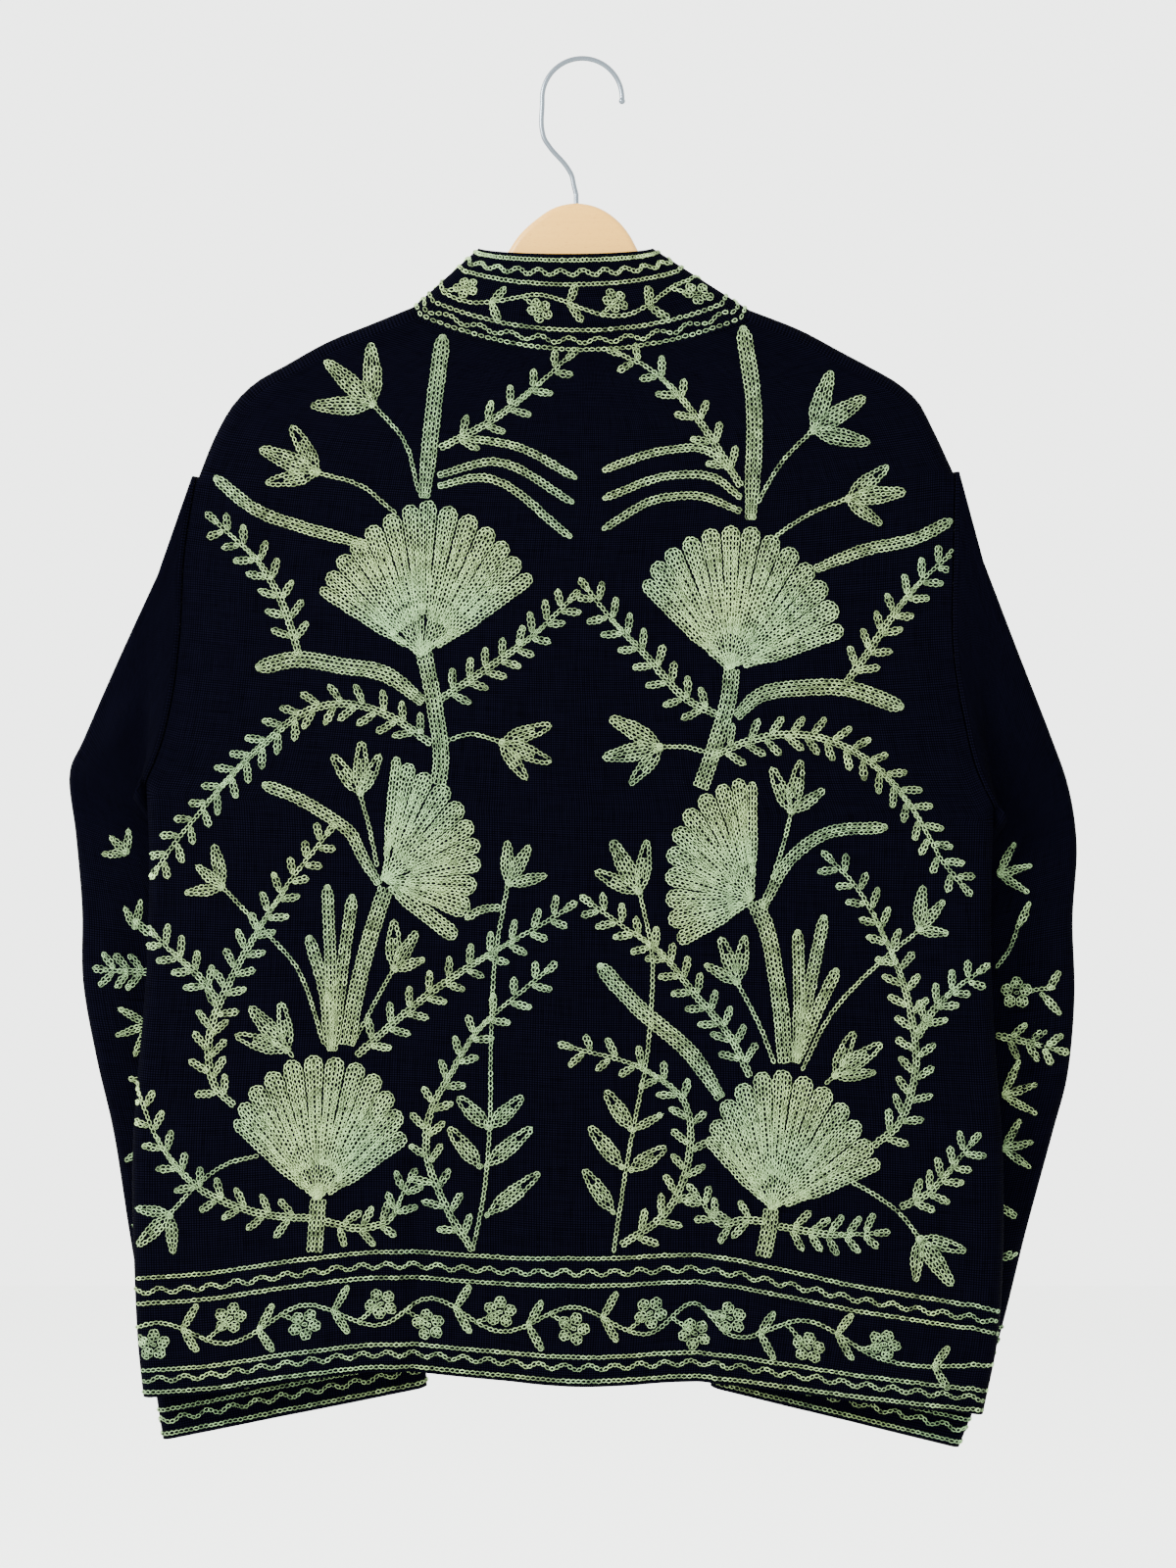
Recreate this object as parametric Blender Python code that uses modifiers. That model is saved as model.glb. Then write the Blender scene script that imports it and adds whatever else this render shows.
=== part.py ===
"""Embroidered jacket on a wooden hanger, hung flat, with its back towards -Y and its sleeves behind it.

Metres, +Z up. The origin is the inside top of the hook, where a peg or a rail holds the hanger.
Tables of points are in millimetres, as (x, z) seen from the back, and mm() turns them into metres.
"""

import math

import bpy
import numpy as np


def mm(values):
    return np.array(values, float) * 0.001


# Cloth
WALL = mm(1.8)
SEAM_HALF = mm(0.5)  # half of what parts two folded edges, measured on the outer face
SEAM_GAP = mm(0.8)  # between an open edge and the piece sewn on it
FOLD_RADIUS = mm(9)  # of the soft fold along the shoulders and the sides
FOLD_ANGLES = np.radians([0, 20, 45, 70, 90])
DEPTH_TOP = mm(9.8)  # half of the body's depth at the shoulders
DEPTH_HEM = mm(11.2)  # and at the hem
NECK_Z = mm(-162)
HEM_Z = mm(-876)

# Outlines from the neck down, seen from the back: x, z
LEFT_SHOULDER = mm([
    (-111.4, -161.9), (-140, -173.5), (-167, -184.5), (-194, -199.5),
    (-217, -213), (-230, -226.5), (-241.3, -246.4), (-252.2, -273.3),
])
LEFT_ARMHOLE = mm([
    (-252.2, -273.3), (-260, -324.5), (-263, -378), (-267, -413), (-277.5, -456), (-286.7, -476.8),
])
LEFT_SIDE = mm([
    (-286.7, -476.8), (-285, -510), (-285.4, -568), (-287.4, -609), (-292.5, -668),
    (-295, -700), (-294.5, -794), (-291.5, -850), (-288.6, -876.2),
])
RIGHT_SHOULDER = mm([
    (108.8, -163.8), (144.6, -178), (169.6, -191.5), (189.4, -202),
    (207.4, -212.5), (219, -223), (229.5, -242), (242.6, -270.1),
])
RIGHT_ARMHOLE = mm([(242.6, -270.1), (241.5, -321), (242, -395), (248, -431), (257, -467), (269.4, -492.8)])
RIGHT_SIDE = mm([
    (269.4, -492.8), (267.8, -545), (268.2, -603), (270.7, -651), (275.3, -712),
    (276, -750), (275.5, -789), (272, -840), (262.4, -887.7),
])
HEM = mm([
    (-288.6, -876.2), (-239.4, -872.3), (-188, -864.5), (-125, -859), (-73.6, -863.5), (-7, -869.5),
    (83.8, -866.5), (125, -871), (170, -877), (262.4, -887.7),
])
SHOULDER_ROWS = 10
ARMHOLE_ROWS = 4
SIDE_ROWS = 9
CLOSED_EDGE_POINTS = 40

# Back
BACK_COLUMNS = 15
NECK_DIP = mm(22.5)  # of the neck edge below its ends
NECK_FADE, HEM_FADE = 2, 3  # the powers by which the neck's and the hem's shapes fade out of the rows
FOLD_LEFT_X, FOLD_RIGHT_X = mm(-122), mm(92)  # the soft folds that run up from the hem
FOLD_STEP = mm(5)  # how far the cloth between them falls back at the hem
FOLD_SOFTNESS = mm(11)
FOLD_TOP_Z, FOLD_FULL_Z = mm(-640), mm(-860)

# Fronts
FRONT_COLUMNS = 7
FRONT_GAP = mm(3)  # between the two front edges
FRONT_X = mm(-11)
FRONT_NECK_Z = mm(-240)
FRONT_LIFT = mm(6)  # the front hem hangs this much above the back one
FRONT_LIFT_FROM = 0.75  # the share of the way down at which that lift begins
NECK_CURVE_FADE = 4  # the power by which the neck's curve fades out down the front

# Collar
COLLAR_TOP_X = mm(-11.5)
COLLAR_HALF_WIDTH = mm(57)
COLLAR_HALF_DEPTH = mm(17)
COLLAR_OVAL = 0.8  # under 1 the oval is fuller at its two ends than an ellipse
COLLAR_SIDE_Z = mm(-123)
COLLAR_BACK_DIP = mm(7)
COLLAR_FRONT_DIP = mm(62)
COLLAR_FRONT_FULLNESS = 4  # the power that keeps the front dip clear of the hanger until the middle
COLLAR_DEPTH_WEIGHT = 3  # depth counts this much more than width in the run round the neck
COLLAR_ROWS = 5

# Sleeves, a row for each section: outer edge x, z, inner edge x, z, y of the outer and inner edge, half depth
LEFT_SLEEVE = mm([
    (-278.4, -336, -294, -483.5, 1, 4, 9.5),
    (-304, -390.4, -287, -502, 3, 16.5, 8.5),
    (-329.6, -444, -274, -519, 13, 22, 8),
    (-340.5, -469, -247, -529, 18, 22, 8),
    (-336.6, -509, -210, -550, 20, 21, 8),
    (-332.8, -558, -173, -580.5, 21, 21, 8),
    (-332.2, -606, -150.4, -622, 21, 21, 7.5),
    (-323.2, -657, -138.9, -667, 21, 21, 7.5),
    (-311.7, -707, -129.3, -718, 21, 21, 7.5),
    (-301.4, -772.5, -117.1, -779, 21, 21, 7.5),
    (-288.6, -849, -107.5, -827, 21, 21, 7.5),
    (-279, -909.4, -103.7, -874.2, 21, 21, 7.5),
])
RIGHT_SLEEVE = mm([
    (262.4, -327.7, 278, -499, 1, 4, 9.5),
    (284.8, -385.3, 274, -519, 3, 16.5, 8.5),
    (309.1, -443, 257, -535, 13, 22, 8),
    (321.9, -478, 230, -545, 18, 22, 8),
    (327.7, -516.5, 192, -566, 20, 21, 8),
    (325.1, -564.5, 155.5, -596.5, 21, 21, 8),
    (326.4, -615.7, 133.1, -638, 21, 21, 7.5),
    (321.9, -667, 121.6, -683, 21, 21, 7.5),
    (311.7, -706.6, 112, -734, 21, 21, 7.5),
    (294.4, -770.6, 99.2, -795, 21, 21, 7.5),
    (273.3, -852.5, 90.2, -839.7, 21, 21, 7.5),
    (249.6, -914.6, 84.5, -874.2, 21, 21, 7.5),
])
SLEEVE_RINGS = 21
SLEEVE_STRAIGHT = mm(4)  # the sleeve leaves the armhole in the body's plane for this long
SECTIONS_TO_STRAIGHTEN = 3  # over these the armhole's curve fades out of the sections

# Hanger
WOOD_THICKNESS = mm(11)
WOOD_ROUNDING = mm(4)
WOOD_SEAT = mm(1.1)  # between the wood and the cloth that hangs on it
WOOD_CREST = mm([
    (36.5, -126), (30, -114), (22.4, -105), (9, -96.5), (-4.5, -94),
    (-18, -96.5), (-31.4, -105), (-42, -115), (-50, -127),
])
WOOD_LEFT_END_X, WOOD_RIGHT_END_X = mm(-220), mm(209)
WOOD_UNDERSIDE = mm([
    (-219, -241), (-160, -213), (-80, -182), (-6, -172), (70, -183), (150, -213), (207, -238),
])
ARM_POINTS = 24
CREST_POINTS = 17
WELD_DISTANCE = mm(0.01)
WIRE_RADIUS = mm(1.6)
HOOK_RADIUS = mm(26.2)  # to the middle of the wire
HOOK_X = mm(-0.6)
HOOK_LEG = mm([
    (-26.8, -27), (-26.8, -46), (-25.5, -51), (-22, -56.5), (-10.5, -70), (-7.6, -75), (-6, -82), (-4.5, -88),
])
HOOK_TIP_DROP = math.radians(-4)
ARC_POINTS = 21
LEG_POINTS = 15
BALL_RADIUS = mm(2.1)
BALL_RINGS = np.array([-0.95, -0.6, 0, 0.6])  # places of the ball's rings along the wire, in its radius
BORE_DEPTH = mm(12)
BORE_CLEARANCE = mm(0.4)
STEM_X = mm(-4.5)
STEM_END_Z = mm(-105)


def through(knots, rows, at):
    """Points at the places `at` on the smooth curve that passes through the rows at their knots."""
    slopes = np.gradient(rows, knots, axis=0)
    i = np.clip(np.searchsorted(knots, at, side="right") - 1, 0, len(knots) - 2)
    span = (knots[i + 1] - knots[i])[:, None]
    t = (at[:, None] - knots[i][:, None]) / span
    return (
        rows[i] * (1 + 2 * t) * (1 - t) ** 2
        + slopes[i] * span * t * (1 - t) ** 2
        + rows[i + 1] * t**2 * (3 - 2 * t)
        + slopes[i + 1] * span * t**2 * (t - 1)
    )


def lengths(path):
    """How far each point of a path lies from its start, along the path."""
    steps = np.linalg.norm(np.diff(path, axis=0), axis=1)
    return np.concatenate([[0], np.cumsum(steps)])


def along(path, fractions):
    """Points at these fractions of the length of the smooth curve through a path."""
    knots = lengths(path)
    return through(knots, path, np.asarray(fractions) * knots[-1])


def fold_offsets():
    """Distances from a folded edge at which a round fold is sampled."""
    return FOLD_RADIUS * (1 - np.cos(FOLD_ANGLES))


def fold(distance):
    """0 on a folded edge, rising round a quarter circle to 1 at the fold's radius and beyond."""
    t = np.clip(distance / FOLD_RADIUS, 0, 1)
    return np.sqrt(1 - (1 - t) ** 2)


def distance_to(points, path):
    """The distance from each (x, z) point to a path of straight runs."""
    start, run = path[:-1], np.diff(path, axis=0)
    away = points[..., None, :] - start
    t = np.clip((away * run).sum(-1) / (run**2).sum(-1), 0, 1)
    return np.linalg.norm(away - t[..., None] * run, axis=-1).min(-1)


def smooth_step(t):
    t = np.clip(t, 0, 1)
    return t * t * (3 - 2 * t)


def fall(z):
    """0 at the neck and 1 at the hem."""
    return (NECK_Z - z) / (NECK_Z - HEM_Z)


def body_depth(z):
    """Half of the body's depth at a height."""
    return DEPTH_TOP + (DEPTH_HEM - DEPTH_TOP) * np.clip(fall(z), 0, 1)


def armhole_fractions(length):
    """Rows along an armhole: close together at its two ends, where it rounds into the folded edges."""
    ends = fold_offsets() / length
    middle = np.linspace(ends[-1], 1 - ends[-1], ARMHOLE_ROWS + 1)[1:-1]
    return np.concatenate([ends, middle, 1 - ends[::-1]])


def edge_of(shoulder, armhole, side, inwards):
    """One edge of the body from neck to hem, its normals into the cloth, and the rows along its armhole."""
    fractions = armhole_fractions(lengths(armhole)[-1])
    parts = [
        along(shoulder, np.linspace(0, 1, SHOULDER_ROWS + 1)[:-1]),
        along(armhole, fractions),
        along(side, np.linspace(0, 1, SIDE_ROWS + 1)[1:]),
    ]
    points = np.concatenate(parts)
    tangents = np.gradient(points, lengths(points), axis=0)
    tangents /= np.linalg.norm(tangents, axis=1)[:, None]
    normals = np.stack([-tangents[:, 1], tangents[:, 0]], axis=1) * inwards
    return points, normals, slice(SHOULDER_ROWS, SHOULDER_ROWS + len(fractions))


def folded_strip(points, normals):
    """The strip of a panel next to its edge, a column for each sample of the round fold."""
    return points[:, None] + normals[:, None] * fold_offsets()[None, :, None]


def closed_edges():
    """The edges along which back and fronts meet: the shoulders and the sides."""
    edges = (LEFT_SHOULDER, LEFT_SIDE, RIGHT_SHOULDER, RIGHT_SIDE)
    return [along(path, np.linspace(0, 1, CLOSED_EDGE_POINTS)) for path in edges]


def half_depth(points):
    """How far the outer face stands from the middle plane: next to nothing on a closed edge."""
    distance = np.min([distance_to(points, path) for path in closed_edges()], axis=0)
    return SEAM_HALF + (body_depth(points[..., 1]) - SEAM_HALF) * fold(distance)


def middle_step(points):
    """The cloth between the two folds at the hem falls back, and the step fades out upwards."""
    x, z = points[..., 0], points[..., 1]
    from_left, from_right = (x - FOLD_LEFT_X) / FOLD_SOFTNESS, (FOLD_RIGHT_X - x) / FOLD_SOFTNESS
    inside = 1 / (1 + np.exp(-from_left)) / (1 + np.exp(-from_right))
    return FOLD_STEP * inside * smooth_step((FOLD_TOP_Z - z) / (FOLD_TOP_Z - FOLD_FULL_Z))


def with_y(points, y):
    return np.stack([points[..., 0], np.broadcast_to(y, points.shape[:-1]), points[..., 1]], axis=-1)


def back_panel(left, right):
    """Straight rows from edge to edge, with the neck's dip fading downwards and the hem's shape upwards."""
    strip_left = folded_strip(left[0], left[1])
    strip_right = folded_strip(right[0], right[1])[:, ::-1]
    start, end = strip_left[:, -1:], strip_right[:, :1]
    u = np.linspace(0, 1, BACK_COLUMNS + 1)[1:-1]
    inner = start + (end - start) * u[None, :, None]
    v = np.clip(fall(inner[..., 1]), 0, 1)
    v[0] = 0
    hem = through(HEM[:, 0], HEM[:, 1:], inner[-1, :, 0])[:, 0] - inner[-1, :, 1]
    dip = NECK_DIP * 4 * u * (1 - u)
    inner[..., 1] += hem * v**HEM_FADE - dip * (1 - v) ** NECK_FADE
    points = np.concatenate([strip_left, inner, strip_right], axis=1)
    return with_y(points, middle_step(points) - half_depth(points))


def front_panel(edge, side):
    """One front, from the body's edge to the front opening. side is -1 on the left as seen from the back."""
    strip = folded_strip(edge[0], edge[1])
    lift_share = (fall(strip[..., 1]) - FRONT_LIFT_FROM) / (1 - FRONT_LIFT_FROM)
    strip[..., 1] += smooth_step(lift_share) * FRONT_LIFT
    start = strip[:, -1:]
    v = np.clip(fall(start[..., 1]), 0, 1)
    v[0] = 0
    opening = np.empty_like(start)
    opening[..., 0] = FRONT_X + side * FRONT_GAP / 2
    opening[..., 1] = FRONT_NECK_Z + (HEM_Z + FRONT_LIFT * 2 - FRONT_NECK_Z) * v
    u = np.linspace(0, 1, FRONT_COLUMNS + 1)[1:]
    turn = np.stack([1 - np.cos(u * np.pi / 2), np.sin(u * np.pi / 2)], axis=-1) - u[:, None]
    fade = (1 - v[..., None]) ** NECK_CURVE_FADE
    inner = start + (opening - start) * (u[None, :, None] + turn[None] * fade)
    points = np.concatenate([strip, inner], axis=1)
    return with_y(points, half_depth(points))


def sleeve_tube(edge, sections):
    """Flattened rings. The first two follow the armhole, and the others a smooth run through the sections."""
    armhole = edge[0][edge[2]]
    chord = armhole[-1] - armhole[0]
    outwards = np.array([chord[1], -chord[0]]) / np.linalg.norm(chord) * np.sign(armhole[0, 0] * chord[1])
    s = lengths(armhole)
    q = s / s[-1]
    rounding = fold(np.minimum(s, s[-1] - s))
    bend = armhole - (armhole[0] + chord * q[:, None])
    half = body_depth(armhole[:, 1])
    rings = [(armhole + outwards * gap, 0 * q, half) for gap in (SEAM_GAP, SLEEVE_STRAIGHT)]
    at = np.linspace(0, len(sections) - 1, SLEEVE_RINGS)
    for place, row in zip(at, through(np.arange(len(sections)), sections, at)):
        left = max(0, 1 - (place + 1) / SECTIONS_TO_STRAIGHTEN)
        line = row[:2] + (row[2:4] - row[:2]) * q[:, None] + bend * left
        centre = row[4] + (row[5] - row[4]) * smooth_step(q)
        rings.append((line, centre, row[6] + (half - row[6]) * left))
    near = np.stack([with_y(line, centre - depth * rounding) for line, centre, depth in rings])
    far = np.stack([with_y(line, centre + depth * rounding) for line, centre, depth in rings])
    return np.concatenate([near, far[:, -2:0:-1]], axis=1)


def collar_band(back, front_left, front_right):
    """From the neck edges of the three panels up to an oval top edge, open at the front."""
    base = np.concatenate([front_left[0, :0:-1], back[0], front_right[0, 1:]])
    turn = lengths(base[:, :2] * (1, COLLAR_DEPTH_WEIGHT))
    share = turn / turn[-1]
    sides = [len(front_left[0]) - 1, len(front_left[0]) + len(back[0]) - 2]
    angle = np.interp(share, [0, share[sides[0]], share[sides[1]], 1], [-0.5, 0, 1, 1.5]) * np.pi
    backwards = np.sin(angle)
    front_dip = COLLAR_FRONT_DIP * backwards**COLLAR_FRONT_FULLNESS
    top = np.stack([
        COLLAR_TOP_X - COLLAR_HALF_WIDTH * np.cos(angle),
        -COLLAR_HALF_DEPTH * np.sign(backwards) * abs(backwards) ** COLLAR_OVAL,
        COLLAR_SIDE_Z - np.where(backwards > 0, COLLAR_BACK_DIP * backwards, front_dip),
    ], axis=1)
    top[[0, -1], 0] = base[[0, -1], 0]
    rise = top - base
    base = base + rise / np.linalg.norm(rise, axis=1)[:, None] * SEAM_GAP
    v = np.linspace(0, 1, COLLAR_ROWS + 1)[:, None, None]
    return base + (top - base) * v


def material(name, colour, roughness, metallic=0.0):
    """A plain finish; the colour is linear."""
    made = bpy.data.materials.new(name)
    made.use_nodes = True
    shader = made.node_tree.nodes["Principled BSDF"]
    shader.inputs["Base Color"].default_value = (*colour, 1)
    shader.inputs["Roughness"].default_value = roughness
    shader.inputs["Metallic"].default_value = metallic
    return made


def add(name, mesh_or_curve, finish, collection):
    """A named object with its finish, in its collection."""
    made = bpy.data.objects.new(name, mesh_or_curve)
    mesh_or_curve.materials.append(finish)
    collection.objects.link(made)
    return made


def cloth(name, grid, finish, collection, ring=False, flip=False):
    """A cloth wall: the outer face from a grid of points, given its thickness inwards by Solidify."""
    rows, columns = grid.shape[:2]
    index = np.arange(rows * columns).reshape(rows, columns)
    across = np.roll(index, -1, axis=1) if ring else index[:, 1:]
    index = index if ring else index[:, :-1]
    corners = [index[:-1], across[:-1], across[1:], index[1:]]
    faces = np.stack(corners[::-1] if flip else corners, axis=-1).reshape(-1, 4)
    mesh = bpy.data.meshes.new(name)
    mesh.from_pydata(grid.reshape(-1, 3).tolist(), [], faces.tolist())
    mesh.shade_smooth()
    made = add(name, mesh, finish, collection)
    wall = made.modifiers.new("Wall", "SOLIDIFY")
    wall.thickness = WALL
    wall.offset = -1
    return made


def inset(path, distance, inwards):
    """The path moved square to itself."""
    tangents = np.gradient(path, lengths(path), axis=0)
    tangents /= np.linalg.norm(tangents, axis=1)[:, None]
    return path + np.stack([-tangents[:, 1], tangents[:, 0]], axis=1) * inwards * distance


def hanger_outline():
    """The arms' top edges run just inside the shoulders, and the crest rises between them."""
    below = WALL + WOOD_SEAT
    left = inset(along(LEFT_SHOULDER, np.linspace(0, 1, ARM_POINTS)), below, 1)
    right = inset(along(RIGHT_SHOULDER, np.linspace(0, 1, ARM_POINTS)), below, -1)
    left = left[left[:, 0] > WOOD_LEFT_END_X]
    right = right[right[:, 0] < WOOD_RIGHT_END_X]
    crest = along(WOOD_CREST, np.linspace(0, 1, CREST_POINTS))
    under = along(WOOD_UNDERSIDE, np.linspace(0, 1, CREST_POINTS))
    return np.concatenate([right[::-1], crest, left, under])


def add_spline(curve, x, y, z):
    """A run of straight stretches through these points."""
    spline = curve.splines.new("POLY")
    spline.points.add(len(x) - 1)
    spline.points.foreach_set("co", np.column_stack([x, y, z, np.ones(len(x))]).ravel())
    return spline


def hanger_wood(finish, collection):
    """The outline as a thick flat curve with rounded edges, stood upright and made a mesh."""
    outline = bpy.data.curves.new("hanger_wood", "CURVE")
    outline.dimensions = "2D"
    outline.fill_mode = "BOTH"
    outline.extrude = WOOD_THICKNESS / 2 - WOOD_ROUNDING
    outline.bevel_depth = WOOD_ROUNDING
    outline.bevel_resolution = 2
    outline.offset = -WOOD_ROUNDING
    points = hanger_outline()
    add_spline(outline, points[:, 0], points[:, 1], 0 * points[:, 0]).use_cyclic_u = True
    made = add("hanger_wood", outline, finish, collection)
    made.rotation_euler.x = math.pi / 2
    weld = made.modifiers.new("Weld", "WELD")
    weld.merge_threshold = WELD_DISTANCE
    bpy.context.view_layer.update()
    graph = bpy.context.evaluated_depsgraph_get()
    solid = bpy.data.objects.new("wood", bpy.data.meshes.new_from_object(made.evaluated_get(graph)))
    solid.matrix_world = made.matrix_world
    collection.objects.link(solid)
    bpy.data.objects.remove(made)
    solid.name = "hanger_wood"
    return solid


def bore_for_hook(wood, cutters):
    """The blind hole in the crest that takes the hook's stem."""
    top_z = float(WOOD_CREST[:, 1].max())
    bpy.ops.mesh.primitive_cylinder_add(
        vertices=16,
        radius=WIRE_RADIUS + BORE_CLEARANCE,
        depth=2 * BORE_DEPTH,
        location=(STEM_X, 0, top_z),
    )
    cutter = bpy.context.object
    cutter.name = "hook_bore"
    cutter.hide_render = True
    cutter.display_type = "WIRE"
    for old in cutter.users_collection:
        old.objects.unlink(cutter)
    cutters.objects.link(cutter)
    cut = wood.modifiers.new("Bore", "BOOLEAN")
    cut.operation = "DIFFERENCE"
    cut.object = cutter


def hook_path():
    """Over the top from the tip to the left leg, then down the leg and its bend to the stem."""
    angles = np.linspace(HOOK_TIP_DROP, math.pi, ARC_POINTS)
    centre_z = WIRE_RADIUS - HOOK_RADIUS
    arc = np.stack([HOOK_X + HOOK_RADIUS * np.cos(angles), centre_z + HOOK_RADIUS * np.sin(angles)], axis=1)
    leg = along(HOOK_LEG, np.linspace(0, 1, LEG_POINTS))
    return np.concatenate([arc, leg, [(STEM_X, STEM_END_Z)]])


def hanger_hook(finish, collection):
    """A round wire. At its tip it swells into a small ball: the radius follows a sphere round the tip."""
    path = hook_path()
    wire = bpy.data.curves.new("hanger_hook", "CURVE")
    wire.dimensions = "3D"
    wire.bevel_depth = WIRE_RADIUS
    wire.bevel_resolution = 2
    wire.use_fill_caps = True
    tip, way = path[0], path[1] - path[0]
    way /= np.linalg.norm(way)
    ball = BALL_RINGS * BALL_RADIUS
    path = np.concatenate([tip + way * ball[:, None], path[1:]])
    radii = np.ones(len(path))
    radii[: len(ball)] = np.sqrt(BALL_RADIUS**2 - ball**2) / WIRE_RADIUS
    radii[len(ball) - 1] = 1
    spline = add_spline(wire, path[:, 0], 0 * path[:, 0], path[:, 1])
    spline.points.foreach_set("radius", radii)
    return add("hanger_hook", wire, finish, collection)


def main():
    for old in list(bpy.data.objects):
        bpy.data.objects.remove(old)
    jacket = bpy.data.collections.new("jacket_on_hanger")
    cutters = bpy.data.collections.new("cutters")
    for collection in (jacket, cutters):
        bpy.context.scene.collection.children.link(collection)

    dark_cloth = material("dark slub cloth", (0.006, 0.007, 0.012), 0.9)
    beech = material("pale beech", (0.72, 0.5, 0.27), 0.45)
    zinc = material("zinc-plated wire", (0.6, 0.64, 0.66), 0.3, 1.0)

    left = edge_of(LEFT_SHOULDER, LEFT_ARMHOLE, LEFT_SIDE, 1)
    right = edge_of(RIGHT_SHOULDER, RIGHT_ARMHOLE, RIGHT_SIDE, -1)
    back = back_panel(left, right)
    front_left = front_panel(left, -1)
    front_right = front_panel(right, 1)

    cloth("back", back, dark_cloth, jacket, flip=True)
    cloth("front_left", front_left, dark_cloth, jacket)
    cloth("front_right", front_right, dark_cloth, jacket, flip=True)
    cloth("sleeve_left", sleeve_tube(left, LEFT_SLEEVE), dark_cloth, jacket, ring=True, flip=True)
    cloth("sleeve_right", sleeve_tube(right, RIGHT_SLEEVE), dark_cloth, jacket, ring=True)
    cloth("collar", collar_band(back, front_left, front_right), dark_cloth, jacket)

    bore_for_hook(hanger_wood(beech, jacket), cutters)
    hanger_hook(zinc, jacket)


main()
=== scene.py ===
"""The looks of an embroidered jacket on its wooden hanger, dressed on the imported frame.

Metres, in the part's own frame: the jacket's back faces -Y, +Z is up, and the origin is the inside top
of the hook. Places read off the photograph are in its pixels, x to the right and y down, and photo()
turns them into metres on the plane of the back. Every other table is in millimetres, turned by mm().
"""

import math

import bpy
import numpy as np
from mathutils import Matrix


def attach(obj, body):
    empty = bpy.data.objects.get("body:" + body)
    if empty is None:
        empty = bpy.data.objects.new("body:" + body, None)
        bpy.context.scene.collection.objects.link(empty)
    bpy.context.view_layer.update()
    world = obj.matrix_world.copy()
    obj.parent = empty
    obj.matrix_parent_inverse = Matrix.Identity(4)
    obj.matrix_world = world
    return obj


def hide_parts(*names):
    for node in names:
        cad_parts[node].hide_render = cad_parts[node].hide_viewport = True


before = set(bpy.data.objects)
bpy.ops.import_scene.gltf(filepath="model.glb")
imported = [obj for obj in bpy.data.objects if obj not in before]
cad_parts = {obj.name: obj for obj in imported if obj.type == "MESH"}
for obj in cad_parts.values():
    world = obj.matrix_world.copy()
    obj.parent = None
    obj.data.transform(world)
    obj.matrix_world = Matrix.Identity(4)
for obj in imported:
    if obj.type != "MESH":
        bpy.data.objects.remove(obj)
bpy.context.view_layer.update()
rng = np.random.default_rng(7)

PIXEL = 0.00064  # metres on the back for one pixel of the photograph
HOOK_PIXEL = (595, 58)  # where the frame's origin lies in it
PHOTO_WIDTH, PHOTO_HEIGHT = 1200, 1600


def mm(values):
    return np.array(values, float) * 0.001


def photo(points):
    """(x, z) in metres for pixels of the photograph."""
    points = np.array(points, float)
    x = (points[..., 0] - HOOK_PIXEL[0]) * PIXEL
    z = (HOOK_PIXEL[1] - points[..., 1]) * PIXEL
    return np.stack([x, z], axis=-1)


# Cloth
WALL = mm(1.8)
SEAM_HALF = mm(0.5)  # half of what parts two folded edges, measured on the outer face
SEAM_GAP = mm(0.8)  # between an open edge and the piece sewn on it
FOLD_RADIUS = mm(9)  # of the soft fold along the shoulders and the sides
FOLD_ANGLES = np.radians([0, 8, 18, 30, 45, 60, 75, 90])
DEPTH_TOP = mm(9.8)  # half of the body's depth at the shoulders
DEPTH_HEM = mm(11.2)  # and at the hem
NECK_Z = mm(-162)
HEM_Z = mm(-876)

# Outlines from the neck down, seen from the back: x, z
LEFT_SHOULDER = mm([
    (-111.4, -161.9), (-140, -173.5), (-167, -184.5), (-194, -199.5),
    (-217, -213), (-230, -226.5), (-241.3, -246.4), (-252.2, -273.3),
])
LEFT_ARMHOLE = mm([
    (-252.2, -273.3), (-260, -324.5), (-263, -378), (-267, -413), (-277.5, -456), (-286.7, -476.8),
])
LEFT_SIDE = mm([
    (-286.7, -476.8), (-285, -510), (-285.4, -568), (-287.4, -609), (-292.5, -668),
    (-295, -700), (-294.5, -794), (-291.5, -850), (-288.6, -876.2),
])
RIGHT_SHOULDER = mm([
    (108.8, -163.8), (144.6, -178), (169.6, -191.5), (189.4, -202),
    (207.4, -212.5), (219, -223), (229.5, -242), (242.6, -270.1),
])
RIGHT_ARMHOLE = mm([(242.6, -270.1), (241.5, -321), (242, -395), (248, -431), (257, -467), (269.4, -492.8)])
RIGHT_SIDE = mm([
    (269.4, -492.8), (267.8, -545), (268.2, -603), (270.7, -651), (275.3, -712),
    (276, -750), (275.5, -789), (272, -840), (262.4, -887.7),
])
HEM = mm([
    (-288.6, -876.2), (-239.4, -872.3), (-188, -864.5), (-125, -859), (-73.6, -863.5), (-7, -869.5),
    (83.8, -866.5), (125, -871), (170, -877), (262.4, -887.7),
])
SHOULDER_ROWS = 22
ARMHOLE_ROWS = 22
SIDE_ROWS = 50
CLOSED_EDGE_POINTS = 40

# Back
BACK_COLUMNS = 110
NECK_DIP = mm(22.5)
NECK_FADE, HEM_FADE = 2, 3
FOLD_LEFT_X, FOLD_RIGHT_X = mm(-122), mm(92)
FOLD_STEP = mm(5)
FOLD_SOFTNESS = mm(11)
FOLD_TOP_Z, FOLD_FULL_Z = mm(-640), mm(-860)

# Fronts
FRONT_COLUMNS = 44
FRONT_GAP = mm(3)
FRONT_X = mm(-11)
FRONT_NECK_Z = mm(-240)
FRONT_LIFT = mm(6)
FRONT_LIFT_FROM = 0.75
NECK_CURVE_FADE = 4

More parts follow.
